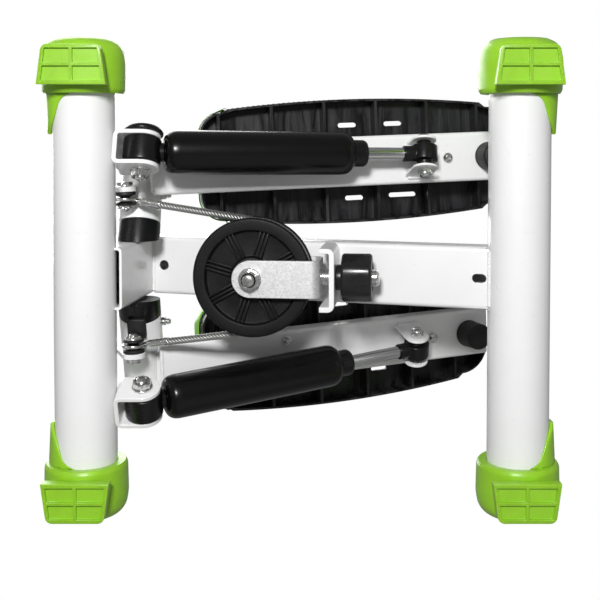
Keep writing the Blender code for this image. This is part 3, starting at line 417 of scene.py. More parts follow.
def soft_prism(outline, low, high, edge=0.8):
    """The same plate with its two rims rounded over."""
    bm = prism(outline, low, high)
    rims = [e for e in bm.edges if abs(e.verts[0].co.z - e.verts[1].co.z) < 1e-6]
    bmesh.ops.bevel(bm, geom=rims, offset=edge, offset_type="OFFSET", segments=3, profile=0.5,
                    affect="EDGES", clamp_overlap=True)
    return bm


def rounded_box(half_x, half_y, corner, steps=8):
    """Outline of a rectangle with round corners, centred on the origin."""
    points = []
    for quarter, (sign_x, sign_y) in enumerate([(1, 1), (-1, 1), (-1, -1), (1, -1)]):
        for step in range(steps + 1):
            angle = pi / 2 * (quarter + step / steps)
            points.append((sign_x * (half_x - corner) + corner * cos(angle),
                           sign_y * (half_y - corner) + corner * sin(angle)))
    return points


def block(x_span, y_span, z_span, edge=0.0, steps=3):
    """A box, its edges rounded by a radius if one is given."""
    (x0, x1), (y0, y1) = x_span, y_span
    bm = prism([(x0, y0), (x1, y0), (x1, y1), (x0, y1)], *z_span)
    if edge:
        bmesh.ops.bevel(bm, geom=bm.edges[:], offset=edge, offset_type="OFFSET", segments=steps,
                        profile=0.5, affect="EDGES", clamp_overlap=True)
    return bm


def box_tube(half_x, z_span, corner, y_span):
    """A bar along y whose section is a rectangle with round corners."""
    low, high = z_span
    outline = [(x, z + (low + high) / 2) for x, z in rounded_box(half_x, (high - low) / 2, corner)]
    return lofted([[(x, y, z) for x, z in outline] for y in y_span])


def tongue_outline(length, half, steps=32):
    """Outline of a plate from y = -length, square there, to a round end about the origin."""
    points = [(half, -length)]
    for step in range(steps + 1):
        angle = pi * step / steps
        points.append((half * cos(angle), half * sin(angle)))
    points.append((-half, -length))
    return points


def moved(bm, matrix):
    """The same mesh, turned and shifted; a mirroring matrix keeps its faces pointing out."""
    bmesh.ops.transform(bm, matrix=matrix, verts=bm.verts)
    bmesh.ops.recalc_face_normals(bm, faces=bm.faces)
    return bm


def shifted(bm, x=0.0, y=0.0, z=0.0):
    return moved(bm, Matrix.Translation((x, y, z)))


def sliced(bm, at, keep):
    """What lies on the keep side of a plane, closed with a flat face."""
    everything = bm.verts[:] + bm.edges[:] + bm.faces[:]
    bmesh.ops.bisect_plane(bm, geom=everything, plane_co=at, plane_no=keep, clear_inner=True)
    bmesh.ops.holes_fill(bm, edges=[edge for edge in bm.edges if edge.is_boundary])
    bmesh.ops.recalc_face_normals(bm, faces=bm.faces)
    return bm


def gathered(meshes):
    """Several meshes as one."""
    whole = bmesh.new()
    carrier = bpy.data.meshes.new("carrier")
    for bm in meshes:
        bm.to_mesh(carrier)
        bm.free()
        whole.from_mesh(carrier)
    bpy.data.meshes.remove(carrier)
    return whole


def swept(path, radius, sides=10, closed=True):
    """A round bar along a path; radius is a number or one number for each point."""
    radii = radius if isinstance(radius, list) else [radius] * len(path)
    across = None
    sections = []
    for index, point in enumerate(path):
        ahead, behind = path[min(index + 1, len(path) - 1)], path[max(index - 1, 0)]
        along = (ahead - behind).normalized()
        if across is None:
            across = along.orthogonal().normalized()
        across = (across - across.dot(along) * along).normalized()
        other = along.cross(across)
        sections.append([point + (across * cos(2 * pi * k / sides) + other * sin(2 * pi * k / sides))
                         * radii[index] for k in range(sides)])
    return lofted(sections, closed)


def bead(path, width=2.2, sides=8):
    """A weld bead along a path: a bar that swells and sinks with each pool of the weld."""
    radii = [width * (1 + 0.10 * sin(index * 1.9) + 0.05 * sin(index * 0.7)) for index in
             range(len(path))]
    radii[0] = radii[-1] = width * 0.4
    return swept(path, radii, sides)


# ---- frames and pieces ------------------------------------------------------------------------

def aimed(origin, z_axis, x_hint):
    """Matrix of a frame with the given z axis and its x axis as near as can be to x_hint."""
    z_axis = Vector(z_axis).normalized()
    x_axis = (Vector(x_hint) - Vector(x_hint).dot(z_axis) * z_axis).normalized()
    y_axis = z_axis.cross(x_axis)
    matrix = Matrix((x_axis, y_axis, z_axis)).transposed().to_4x4()
    return Matrix.Translation(Vector(origin)) @ matrix


def end_frame(origin, z_axis, y_hint):
    """Matrix of a frame with the given z axis and its y axis as near as can be to y_hint."""
    return aimed(origin, z_axis, Vector(y_hint).cross(Vector(z_axis)))


def in_metres(matrix):
    scaled = matrix.copy()
    scaled.translation = matrix.translation * MM
    return scaled


def mirror(side):
    return Matrix.Diagonal((side, 1, 1, 1))


def made_object(name, bm):
    bmesh.ops.scale(bm, vec=(MM, MM, MM), verts=bm.verts)
    mesh = bpy.data.meshes.new(name)
    bm.to_mesh(mesh)
    bm.free()
    item = bpy.data.objects.new(name, mesh)
    bpy.context.scene.collection.objects.link(item)
    return item


def cut_and_joined(item, add, cut):
    """Bake the unions and the cuts into the object's mesh."""
    tools = []
    for operation, meshes in (("UNION", add), ("DIFFERENCE", cut)):
        for bm in meshes:
            tool = made_object(item.name + "_tool", bm)
            tools.append(tool)
            step = item.modifiers.new(operation.lower(), "BOOLEAN")
            step.operation = operation
            step.solver = "EXACT"
            step.object = tool
    bpy.context.view_layer.update()
    evaluated = item.evaluated_get(bpy.context.evaluated_depsgraph_get())
    baked = bpy.data.meshes.new_from_object(evaluated)
    item.modifiers.clear()
    item.data = baked
    for tool in tools:
        bpy.data.objects.remove(tool)


def piece(name, body, slot, bm, place=None, add=(), cut=(), edge=0.0, stands_for=None, finish=None):
    """One visual piece that rides on a CAD body and stands for the CAD node of the same name.

    edge rounds what sharp edges are left by that radius; stands_for="" leaves every CAD node shown.
    """
    item = made_object(name + "_look", bm)
    if add or cut:
        cut_and_joined(item, add, cut)
    mesh = item.data
    if edge:
        tidy = bmesh.new()
        tidy.from_mesh(mesh)
        bmesh.ops.remove_doubles(tidy, verts=tidy.verts, dist=0.02 * MM)
        bmesh.ops.dissolve_limit(tidy, angle_limit=radians(0.5), verts=tidy.verts, edges=tidy.edges)
        tidy.to_mesh(mesh)
        tidy.free()
        rim = item.modifiers.new("edges", "BEVEL")
        rim.width = edge * MM
        rim.segments = 2
        rim.limit_method = "ANGLE"
        rim.angle_limit = radians(38)
        rim.use_clamp_overlap = False
        rim.harden_normals = False
    mesh.shade_smooth()
    mesh.set_sharp_from_angle(angle=radians(40))
    mesh.materials.clear()
    mesh.materials.append(FINISHES[finish or slot])
    item.matrix_world = in_metres(place or Matrix())
    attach(item, body)
    if stands_for is None:
        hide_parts(name)
    elif stands_for:
        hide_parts(stands_for)
    return item


# ---- geometry of the mechanism ----------------------------------------------------------------

def outward(side):
    """Direction of a pivot axis, outward and up."""
    return Vector((side * cos(radians(TILT)), 0, sin(radians(TILT))))


def hinge_axis(side):
    """The same line pointing to +X, about which a positive turn lifts the pedal."""
    return outward(side) * side


def cylinder_axis(side):
    """The bolt through a cylinder's lower eye, pointing to +X."""
    return Vector((cos(radians(CYLINDER_TILT)), 0, side * sin(radians(CYLINDER_TILT))))


def pivot_point(side):
    return Vector((side * PIVOT_X, PIVOT_Y, PIVOT_Z))


def deck_matrix(side):
    """Frame of a pedal arm at rest, in the part's frame."""
    origin = pivot_point(side) + outward(side) * DECK_REACH
    lean = Matrix.Rotation(radians(-side * DECK_LEAN), 4, hinge_axis(side))
    return Matrix.Translation(origin) @ lean @ Matrix.Rotation(radians(DECK_SLOPE), 4, "X")


def on_deck(side, point):
    """A point given in the deck frame of the left arm, mirrored for the right one."""
    return deck_matrix(side) @ Vector((side * point[0], point[1], point[2]))


def axis_in_deck(side):
    return Matrix.Rotation(radians(-DECK_SLOPE), 3, "X") @ outward(side)


def pivot_in_deck(side):
    """Frame of the pivot tube in the deck frame, z outward along the axis."""
    return aimed((0, 0, 0), axis_in_deck(side), (0, 1, 0))


def pivot_cutter():
    return turned(pin(PIVOT_TUBE_RADIUS + GAP, -80, 80))


def cylinder_foot(side):
    x, y, z = CYLINDER_FOOT
    return Vector((side * x, y, z))


def cylinder_matrix(side):
    """z runs from the lower eye to the rod eye, x lies near the bolt axis."""
    foot = cylinder_foot(side)
    return aimed(foot, on_deck(side, ROD_EYE_DECK) - foot, cylinder_axis(side) * side)


def cylinder_length(side):
    return (on_deck(side, ROD_EYE_DECK) - cylinder_foot(side)).length


def pulley_matrix():
    return Matrix.Translation(Vector(PULLEY_AT)) @ Matrix.Rotation(radians(-PULLEY_SLOPE), 4, "X")


def along_screw():
    """In the pulley frame, the frame whose z axis runs rearward along the adjuster screw."""
    return aimed((0, 0, 0), (0, 1, 0), (1, 0, 0))


def rope_tangent(side):
    """Where the straight strand meets the pulley, in the part's frame."""
    lug = pulley_matrix().inverted() @ on_deck(side, LUG_DECK)
    to_lug = atan2(abs(lug.x), -lug.y)
    angle = to_lug + acos(ROPE_LINE / sqrt(lug.x ** 2 + lug.y ** 2))
    return pulley_matrix() @ Vector((side * ROPE_LINE * sin(angle), -ROPE_LINE * cos(angle), 0))


def strand_direction(side):
    return (rope_tangent(side) - on_deck(side, LUG_DECK)).normalized()


def beam_matrix():
    """Origin at the middle of the beam's lower front edge, y rearward down the beam."""
    return Matrix.Translation(Vector((0, BEAM_FRONT_Y, BEAM_FRONT_Z))) @ Matrix.Rotation(
        radians(-BEAM_SLOPE), 4, "X")


def tower_matrix():
    """Origin on the tower's rear face at the foot, z up the tower."""
    rise = BEAM_FRONT_Z - TOWER_FOOT_Z
    origin = Vector((0, BEAM_FRONT_Y - rise * tan(radians(TOWER_LEAN)), TOWER_FOOT_Z))
    return Matrix.Translation(origin) @ Matrix.Rotation(radians(-TOWER_LEAN), 4, "X")


# ---- fasteners --------------------------------------------------------------------------------

def threaded(radius, low, high, pitch=1.25, depth=0.45):
    """Profile of a thread, drawn as rings."""
    count = max(1, round((high - low) / pitch))
    step = (high - low) / count
    points = []
    for k in range(count):
        at = low + step * k
        points += [(radius - depth, at + 0.05 * step), (radius, at + 0.4 * step),
                   (radius, at + 0.6 * step)]
    return points + [(radius - depth, high)]


def hex_collar(corner, low, high, ease=0.6):
    """Profile of a hexagon nut or head whose corners are turned off at both faces."""
    flat = corner * cos(pi / 6)
    return [(flat * 1.02, low), (corner, low + ease, "hex"), (corner, high - ease, "hex"),
            (flat * 1.02, high)]


def hex_bolt(radius, low, high, head, nut, corner, stub=2.5):
    """Bolt along z with a hexagon head ending at high; its nut has a washer under it and the
    threaded stub ends at low."""
    flat = corner * cos(pi / 6)
    face, seat = low + stub, low + stub + nut
    profile = [(0, low), (radius * 0.7, low), (radius * 0.9, low + 0.5)]
    profile += threaded(radius, low + 0.7, face + 1.0, 1.0, 0.4)
    profile += [(radius + 0.1, face + 2.0), (radius + 1.2, face + 1.8), (radius + 1.3, face)]
    profile += hex_collar(corner, face, seat - 1.3)
    profile += [(corner * 1.04, seat - 1.2), (corner * 1.06, seat - 1.0), (corner * 1.06, seat - 0.1),
                (corner * 1.04, seat), (radius, seat), (radius, high - head)]
    profile += hex_collar(corner, high - head, high - 0.3)
    profile += [(flat * 0.8, high), (0, high)]
    return turned(profile)


def lock_ring(radius, low, stub=2.5):
    """Nylon ring that shows in the face of the nut of a hex_bolt."""
    face = low + stub
    return turned([(radius + 0.15, face + 1.9), (radius + 1.25, face + 1.7),
                   (radius + 1.25, face - 0.1), (radius + 0.15, face + 0.3)])


def dome_bolt(radius, low, high, head, nut, corner, stub=2.5):
    """The same bolt with a domed cap nut and a round button head."""
    profile = [(0, low)]
    dome = corner * 0.82
    for k in range(1, 9):
        angle = pi / 2 * k / 8
        profile.append((dome * sin(angle), low + (stub + 1.5) * (1 - cos(angle))))
    profile += hex_collar(corner, low + stub + 1.6, low + stub + nut)
    profile += [(radius, low + stub + nut), (radius, high - head), (corner, high - head)]
    for k in range(9):
        angle = pi / 2 * k / 8
        profile.append((corner * cos(angle), high - head + 1 + (head - 1) * sin(angle)))
    profile[-1] = (0, high)
    return turned(profile)


# ---- the frame --------------------------------------------------------------------------------

def build_cross_tubes():
    inner = TUBE_RADIUS - TUBE_WALL
    profile = [(inner, -TUBE_HALF), (TUBE_RADIUS, -TUBE_HALF),
               (TUBE_RADIUS, TUBE_HALF), (inner, TUBE_HALF)]
    for name, end in (("front", -1), ("rear", 1)):
        place = aimed((0, end * TUBE_Y, TUBE_Z), (1, 0, 0), (0, 1, 0))
        piece(f"{name}_cross_tube", "root", "white_paint", turned(profile, 120), place)


def tube_cutter(end):
    place = aimed((0, end * TUBE_Y, TUBE_Z), (1, 0, 0), (0, 1, 0))
    return moved(turned(pin(TUBE_RADIUS + GAP, -150, 150), 120), place)


def foot_profile(steps=5):
    """The foot's outline along x, with the corners between its CAD sections rounded off."""
    made = [FOOT_BODY[0]]
    for before, here, after in zip(FOOT_BODY, FOOT_BODY[1:], FOOT_BODY[2:]):
        before, here, after = Vector(before), Vector(here), Vector(after)
        reach = min(4.5, (before - here).length / 2, (after - here).length / 2)
        start = here + (before - here).normalized() * reach
        end = here + (after - here).normalized() * reach
        for step in range(steps):
            share = step / (steps - 1)
            made.append(tuple(start * (1 - share) ** 2 + here * (2 * share * (1 - share))
                              + end * share ** 2))
    return made + [FOOT_BODY[-1]]


def foot_section(x, radius, count=96):
    """Round outline of a foot about its tube, cut flat just above the pad."""
    points = []
    for k in range(count):
        angle = 2 * pi * k / count
        points.append((x, radius * cos(angle), max(radius * sin(angle), FOOT_FLOOR - TUBE_Z)))
    return points


def between(table, at):
    """Value at a place in a table of (place, value) pairs, on a straight line between two."""
    for (x0, y0), (x1, y1) in zip(table, table[1:]):
        if x0 <= at <= x1:
            return y0 + (y1 - y0) * (at - x0) / (x1 - x0)


def foot_tongue(count=48, turns=32):
    """The tapering lip along the outer side of the tube, its edge an S curve."""
    start = FOOT_BODY[0][0] + 4
    inner = TUBE_RADIUS - 4
    sections = []
    for step in range(count + 1):
        share = step / count
        near, far = max(share - 0.03, 0.0), min(share + 0.03, 1.0)
        limit = radians((between(TONGUE_EDGE, near) + between(TONGUE_EDGE, share)
                         + between(TONGUE_EDGE, far)) / 3)
        x = start + (TONGUE_TIP_X - start) * share
        thick = TONGUE_THICK * (1 - 0.35 * share) * (0.7 if step == count else 1.0)
        over = []
        for k in range(turns + 1):
            place = 2 * k / turns - 1
            turn = limit * place
            rise = thick * (0.30 + 0.70 * max(cos(turn * 1.5), 0.0)) * (1 - 0.35 * place ** 12)
            over.append((x, (TUBE_RADIUS + rise) * cos(turn), (TUBE_RADIUS + rise) * sin(turn)))
        under = [(x, inner * cos(turn), inner * sin(turn))
                 for turn in (limit * (1 - 2 * k / turns) for k in range(turns + 1))]
        sections.append(over + under)
    return lofted(sections)


def corner_arc(centre, radius, start, end, steps=6):
    (x, y) = centre
    turns = [radians(start + (end - start) * k / steps) for k in range(steps + 1)]
    return [(x + radius * cos(turn), y + radius * sin(turn)) for turn in turns]


def foot_pad():
    """The block under the foot that stands on the floor, its outer corners rounded."""
    right = [(PAD_INNER_X, PAD_INNER_HALF)]
    right += corner_arc((PAD_OUTER_X - PAD_CORNER, PAD_OUTER_HALF - 6), PAD_CORNER, 83, 0, 8)
    outline = right + [(x, -y) for x, y in reversed(right)]
    return soft_prism(outline, -TUBE_Z, FOOT_FLOOR + 4 - TUBE_Z, 0.9)


def pad_windows():
    """Four shallow recesses that leave a cross of ribs on the pad's face."""
    middle = (PAD_INNER_X + PAD_OUTER_X) / 2
    slope = (PAD_OUTER_HALF - PAD_INNER_HALF) / (PAD_OUTER_X - PAD_INNER_X)
    rib = PAD_RIB_HALF
    for x0, x1 in ((PAD_INNER_X + PAD_RIM, middle - rib), (middle + rib, PAD_OUTER_X - PAD_RIM)):
        near, far = (PAD_INNER_HALF - PAD_RIM + slope * (x - PAD_INNER_X) for x in (x0, x1))
        for side in (1, -1):
            outline = [(x0, side * rib), (x1, side * rib), (x1, side * far), (x0, side * near)]
            yield prism(outline, -TUBE_Z - 5, PAD_RECESS - TUBE_Z)


def build_feet():
    for end_name, end in (("front", -1), ("rear", 1)):
        for side_name, side in SIDES.items():
            turn = Matrix.Diagonal((side, end, 1, 1))
            bore = turned(pin(TUBE_RADIUS + GAP, 100, TUBE_HALF + GAP), 120)
            bore = moved(bore, aimed((0, 0, 0), (1, 0, 0), (0, 1, 0)))
            body = lofted([foot_section(x, radius) for x, radius in foot_profile()])
            piece(f"{end_name}_{side_name}_foot", "root", "foot_green", moved(body, turn),
                  Matrix.Translation((0, end * TUBE_Y, TUBE_Z)),
                  add=[moved(foot_pad(), turn), moved(foot_tongue(), turn)],
                  cut=[moved(bore, turn)] + [moved(window, turn) for window in pad_windows()],
                  edge=0.3)


def build_beam():
    matrix = beam_matrix()
    to_beam = matrix.inverted()
    half, wall = BEAM_WIDTH / 2, BEAM_WALL
    bore = box_tube(half - wall, (wall, BEAM_DEPTH - wall), 3.0, (-60, BEAM_REACH + 50))
    hole = shifted(turned(pin(5.0, -4, 4)), y=12)
    slot = shifted(prism(rounded_box(4.0, 6.5, 3.95), -4, 4), y=BEAM_REACH - 39)
    rearward = to_beam.to_3x3() @ tower_matrix().to_3x3() @ Vector((0, 1, 0))
    seat = to_beam @ tower_matrix() @ Vector((0, GAP, 0))
    body = sliced(box_tube(half, (0, BEAM_DEPTH), 4.5, (-40, BEAM_REACH)), seat, rearward)
    flares = []
    for side in (1, -1):
        end = BEAM_REACH - TUBE_RADIUS + 4
        curve = [(side * (half - 1.5 + 9.5 * (k / 10) ** 2.4), end - 13 + 1.3 * k)
                 for k in range(11)]
        outline = curve + [(side * (half + 8), end + 12), (side * (half - 1.5), end + 12)]
        flares.append(prism(outline, 1.0, BEAM_DEPTH - 1))
    piece("central_beam", "root", "white_paint", body, matrix, add=flares,
          cut=[bore, hole, slot, moved(tube_cutter(1), to_beam)], edge=0.6)


def build_tower():
    matrix = tower_matrix()
    half, wall = BEAM_WIDTH / 2 - GAP, TOWER_WALL
    height = (TOWER_TOP_Z - TOWER_FOOT_Z) / cos(radians(TOWER_LEAN))
    middle = -TOWER_DEPTH / 2
    body = shifted(prism(rounded_box(half, TOWER_DEPTH / 2, 4.0), 0, height), y=middle)
    bore = shifted(prism(rounded_box(half - wall, TOWER_DEPTH / 2 - wall, 2.0), -5, height + 5),
                   y=middle)
    piece("tower", "root", "white_paint", body, matrix,
          cut=[bore, moved(tube_cutter(-1), matrix.inverted())], edge=0.5)
    lid = shifted(soft_prism(rounded_box(half, TOWER_DEPTH / 2, 4.0), height + GAP,
                             height + GAP + LID_THICK, 1.4), y=middle)
    fit = wall + GAP
    plug = shifted(prism(rounded_box(half - fit, TOWER_DEPTH / 2 - fit, 1.6), height - LID_PLUG,
                         height + 2), y=middle)
    piece("tower_end_cap", "root", "black_plastic", lid, matrix, add=[plug])


def boundary(is_inside, inside, outside):
    """The place between two others where is_inside turns false."""
    for _ in range(30):
        middle = (inside + outside) / 2
        inside, outside = (middle, outside) if is_inside(middle) else (inside, middle)
    return inside


def spread(half, count=49):
    """Evenly spaced places from -half to half."""
    return [half * (2 * k / (count - 1) - 1) for k in range(count)]


def build_welds():
    """Weld beads where the frame's tubes meet, in the paint."""
    tower, beam = tower_matrix(), beam_matrix()
    half = BEAM_WIDTH / 2 - GAP
    foot = tower.translation
    level = TUBE_Z + 6.0
    y = foot.y - (level - foot.z) * tan(radians(TOWER_LEAN)) + 0.6
    beads = {"tower_weld_rear": ([Vector((x, y, level)) for x in spread(half - 3)], 2.0)}

    def in_tube(x, along):
        spot = beam @ Vector((x, along, 0))
        return (spot.y - TUBE_Y) ** 2 + (spot.z - TUBE_Z) ** 2 < TUBE_RADIUS ** 2

    ends = [(x, boundary(lambda along: in_tube(x, along), BEAM_REACH, BEAM_REACH - 60))
            for x in spread(BEAM_WIDTH / 2 - 3)]
    beads["beam_weld_rear"] = [beam @ Vector((x, end, 0.3)) for x, end in ends], 2.2
    height = (beam.translation - foot).length
    beads["beam_weld_front"] = [tower @ Vector((x, 0.8, height)) for x in spread(half - 2)], 2.0
    for name, (path, width) in beads.items():
        piece(name, "root", "white_paint", bead(path, width), stands_for="")


# ---- pivots and cylinder brackets on the frame ------------------------------------------------

def build_pivot_hardware(side_name, side):
    matrix = aimed(pivot_point(side), outward(side), (0, 1, 0))
    face = matrix.inverted() @ Vector((side * (BEAM_WIDTH / 2 + 0.1), PIVOT_Y, PIVOT_Z))
    facing = matrix.inverted().to_3x3() @ Vector((side, 0, 0))
    start, end = PIVOT_TUBE_SPAN
    face_z, washer_z, tip_z = end + 1, end + 4, end + 9
    shaft = turned(eased([(0, -15), (SHAFT_RADIUS, -15), (SHAFT_RADIUS, face_z), (16, face_z),
                          (16, washer_z)], 0.5) + hex_collar(9, washer_z, tip_z) + [(0, tip_z)])
    piece(f"{side_name}_pivot_shaft", "root", "zinc_steel", sliced(shaft, face, facing), matrix)
    inner = SHAFT_RADIUS + GAP
    bush = turned(eased([(inner, -15), (BUSH_FLANGE, -15), (BUSH_FLANGE, start - GAP),
                         (BUSH_RADIUS, start - GAP), (BUSH_RADIUS, end), (inner, end)], 0.8), 96)
    piece(f"{side_name}_pivot_bush", "root", "black_plastic", sliced(bush, face, facing), matrix)


def channel(length, half_gap, wall, bend, half_width, end_round=True):
    """A strip folded into a U: its web at y = -length, its legs' round ends about the origin."""
    outer_bend, inner_bend = bend + wall, bend
    tip = half_width if end_round else 0.0
    outer = half_gap + wall
    right = [(tip, outer)] + [(-y, z) for y, z in corner_arc(
        (length - outer_bend, outer - outer_bend), outer_bend, 90, 0, 8)]
    inside = [(tip, half_gap)] + [(-y, z) for y, z in corner_arc(
        (length - wall - inner_bend, half_gap - inner_bend), inner_bend, 90, 0, 8)]
    outline = right + [(y, -z) for y, z in reversed(right)]
    outline += [(y, -z) for y, z in inside] + list(reversed(inside))
    return lofted([[(x, y, z) for y, z in outline] for x in (-half_width, half_width)])


def round_end_cutter(half, depth=60.0):
    """What is left outside a plate's round end about the origin, on its +y side."""
    arc = [(half * cos(pi * k / 48), half * sin(pi * k / 48)) for k in range(49)]
    outline = [(half + 5, 0.0)] + arc + [(-half - 5, 0.0), (-half - 5, half + 5), (half + 5, half + 5)]
    return prism(outline, -depth, depth)


def build_cylinder_bracket(side_name, side):
    foot = cylinder_foot(side)
    matrix = end_frame(foot, cylinder_axis(side) * side, (0, 1, 0))
    wall, half, inside = 4.0, 16.5, EYE_HALF + 0.6
    to_tube = foot.y + TUBE_Y - TUBE_RADIUS - GAP
    bracket = channel(to_tube, inside, wall, 2.0, half)
    hole = turned(pin(BOLT_RADIUS + GAP, -30, 30))
    piece(f"{side_name}_cylinder_bracket", "root", "white_paint", bracket, matrix,
          cut=[round_end_cutter(half), hole], edge=0.6)
    out = inside + wall + GAP
    piece(f"{side_name}_cylinder_bolt", "root", "zinc_steel",
          hex_bolt(BOLT_RADIUS, -out - 10, out + 5, 5, 7, 9), matrix)
    if side > 0:
        cap = turned(eased([(10, out + GAP), (18.5, out + GAP), (19, out + 2), (17, out + 5.5),
                            (12, out + 7.5), (0, out + 8), (0, out + 5.5), (10, out + 5.5)], 2.0), 96)
        piece(f"{side_name}_bracket_cap", "root", "black_plastic", cap, matrix)


# ---- pedal arms -------------------------------------------------------------------------------

def build_arm(side_name, side, deck):
    half, body = ARM_WIDTH / 2, f"{side_name}_pedal"
    tilt_in_deck = pivot_in_deck(side)
    start, end = (reach - DECK_REACH for reach in PIVOT_TUBE_SPAN)
    bore_radius = BUSH_RADIUS + BUSH_PLAY
    pivot = turned(eased([(bore_radius, start), (PIVOT_TUBE_RADIUS, start),
                          (PIVOT_TUBE_RADIUS, end), (bore_radius, end)], 0.8)
                   + [(bore_radius, end - 0.1)], 96)
    piece(f"{side_name}_pivot_tube", body, "white_paint", pivot, deck @ tilt_in_deck)
    saddle = moved(pivot_cutter(), tilt_in_deck)
    bar = box_tube(half, (ARM_BOTTOM, ARM_TOP), 4.0, ARM_SPAN)
    cheek = moved(block((half - CHEEK_WALL, half), CHEEK_SPAN, CHEEK_HEIGHT, 1.4), mirror(side))
    bore = box_tube(half - ARM_WALL, (ARM_BOTTOM + ARM_WALL, ARM_TOP - ARM_WALL), 2.0,
                    (ARM_SPAN[0] - 9, ARM_SPAN[1] + 9))
    piece(f"{side_name}_arm", body, "white_paint", bar, deck, add=[cheek], cut=[bore, saddle],
          edge=0.5)
    to_pivot = tilt_in_deck.inverted()

    def in_pivot(x, y):
        spot = to_pivot @ Vector((x, y, ARM_BOTTOM))
        return spot.x ** 2 + spot.y ** 2 < PIVOT_TUBE_RADIUS ** 2

    ends = [(x, boundary(lambda y: in_pivot(x, y), -30.0, 60.0)) for x in spread(half * 0.9, 41)]
    path = [Vector((x, max(y, ARM_SPAN[0]) + 0.4, ARM_BOTTOM + 0.8)) for x, y in ends]
    piece(f"{side_name}_arm_weld", body, "white_paint", bead(path, 2.0), deck, stands_for="")


def build_stop_pad(deck):
    matrix = end_frame((0, 0, 0), axis_in_deck(-1), (0, -0.4, -1))
    pad = block((-STOP_PAD_HALF, STOP_PAD_HALF), STOP_PAD_DEPTH, STOP_PAD_SPAN, 1.6)
    piece("right_stop_pad", "right_pedal", "black_rubber", pad, deck @ matrix,
          cut=[pivot_cutter()])


def pedal_half(y):
    """Half width of the pedal at a place along it, its round corners left aside."""
    return PEDAL_HALF - PEDAL_TAPER * ((y - PEDAL_MIDDLE) / PEDAL_TAPER_RUN) ** 2


def pedal_edge(inset=0.0, steps=104, teeth=0.0):
    """The +x edge of the pedal from its front end to its rear end, with round corners."""
    low, high = PEDAL_SPAN[0] + inset, PEDAL_SPAN[1] - inset
    front, rear = (radius - inset for radius in PEDAL_CORNERS)
    quarter = [pi / 24 * step for step in range(13)]
    points = [(pedal_half(low) - inset - front + front * sin(angle),
               low + front - front * cos(angle)) for angle in quarter]
    for step in range(1, steps * 2):
        y = low + front + (high - low - front - rear) * step / (steps * 2)
        tooth = teeth * (1 if step % 4 in (1, 2) else -1)
        points.append((pedal_half(y) - inset + tooth, y))
    points += [(pedal_half(high) - inset - rear + rear * cos(angle),
                high - rear + rear * sin(angle)) for angle in quarter]
    return points


def both_edges(edge):
    return edge + [(-x, y) for x, y in reversed(edge)]


def edge_x(edge, y):
    """x of an edge at a place along it."""
    for (x0, y0), (x1, y1) in zip(edge, edge[1:]):
        if y0 <= y <= y1:
            return x0 + (x1 - x0) * (y - y0) / (y1 - y0)


def pedal_pockets():
    """The hollows under the pedal, one between each pair of cross ribs."""
    inside = pedal_edge(PEDAL_SKIN, 12)
    starts = [inside[0][1]] + [rib + RIB_HALF for rib in PEDAL_RIBS]
    ends = [rib - RIB_HALF for rib in PEDAL_RIBS] + [inside[-1][1]]
    for start, end in zip(starts, ends):
        edge = [point for point in inside if start < point[1] < end]
        edge = [(edge_x(inside, start), start)] + edge + [(edge_x(inside, end), end)]
        yield prism(both_edges(edge), ARM_TOP - 5, ARM_TOP + PEDAL_HEIGHT - PEDAL_SKIN)


def toe_outline(side):
    """The crescent that wraps the pedal's front end, thinner on its outer side."""
    pairs = []
    for (x, y), (far_x, far_y) in zip(pedal_edge(-GAP, 52), pedal_edge(-TRIM_REACH, 52)):
        if y < PEDAL_SPAN[0] + TRIM_LENGTH:
            pairs.append(((x, y), (far_x, far_y)))
    near = [(-x, y) for (x, y), _ in reversed(pairs)] + [(x, y) for (x, y), _ in pairs]
    far = [(-x, y) for _, (x, y) in reversed(pairs)] + [(x, y) for _, (x, y) in pairs]
    outer = []
    for (x, y), (far_x, far_y) in zip(near, far):
        share = 0.62 - 0.38 * side * x / PEDAL_HALF
        outer.append((x + (far_x - x) * share, y + (far_y - y) * share))
    return outer + list(reversed(near))


def button_screw():
    """Button head with a hexagon socket, under the arm."""
    return turned(eased([(0, ARM_BOTTOM - 2.6), (1.9, ARM_BOTTOM - 2.6, "hex"),
                         (1.9, ARM_BOTTOM - 4.3, "hex"), (2.6, ARM_BOTTOM - 4.5),
                         (4.8, ARM_BOTTOM - 2.7), (5.3, ARM_BOTTOM - GAP), (0, ARM_BOTTOM - GAP)],
                        0.5))


def pedal_slots(side, half_width):
    return gathered([prism([(side * x + a, y + b)
                            for a, b in rounded_box(half_width, half, half_width - 0.05)], -40, 40)
                     for x, y, half in PEDAL_SLOTS])


def ridge(y, half, top):
    """One low bar across the tread."""
    section = ((y - 1.6, top - 0.2), (y - 0.9, top + 0.9), (y + 0.9, top + 0.9), (y + 1.6, top - 0.2))
    return lofted([[(x, along, z) for along, z in section] for x in (-half, half)])


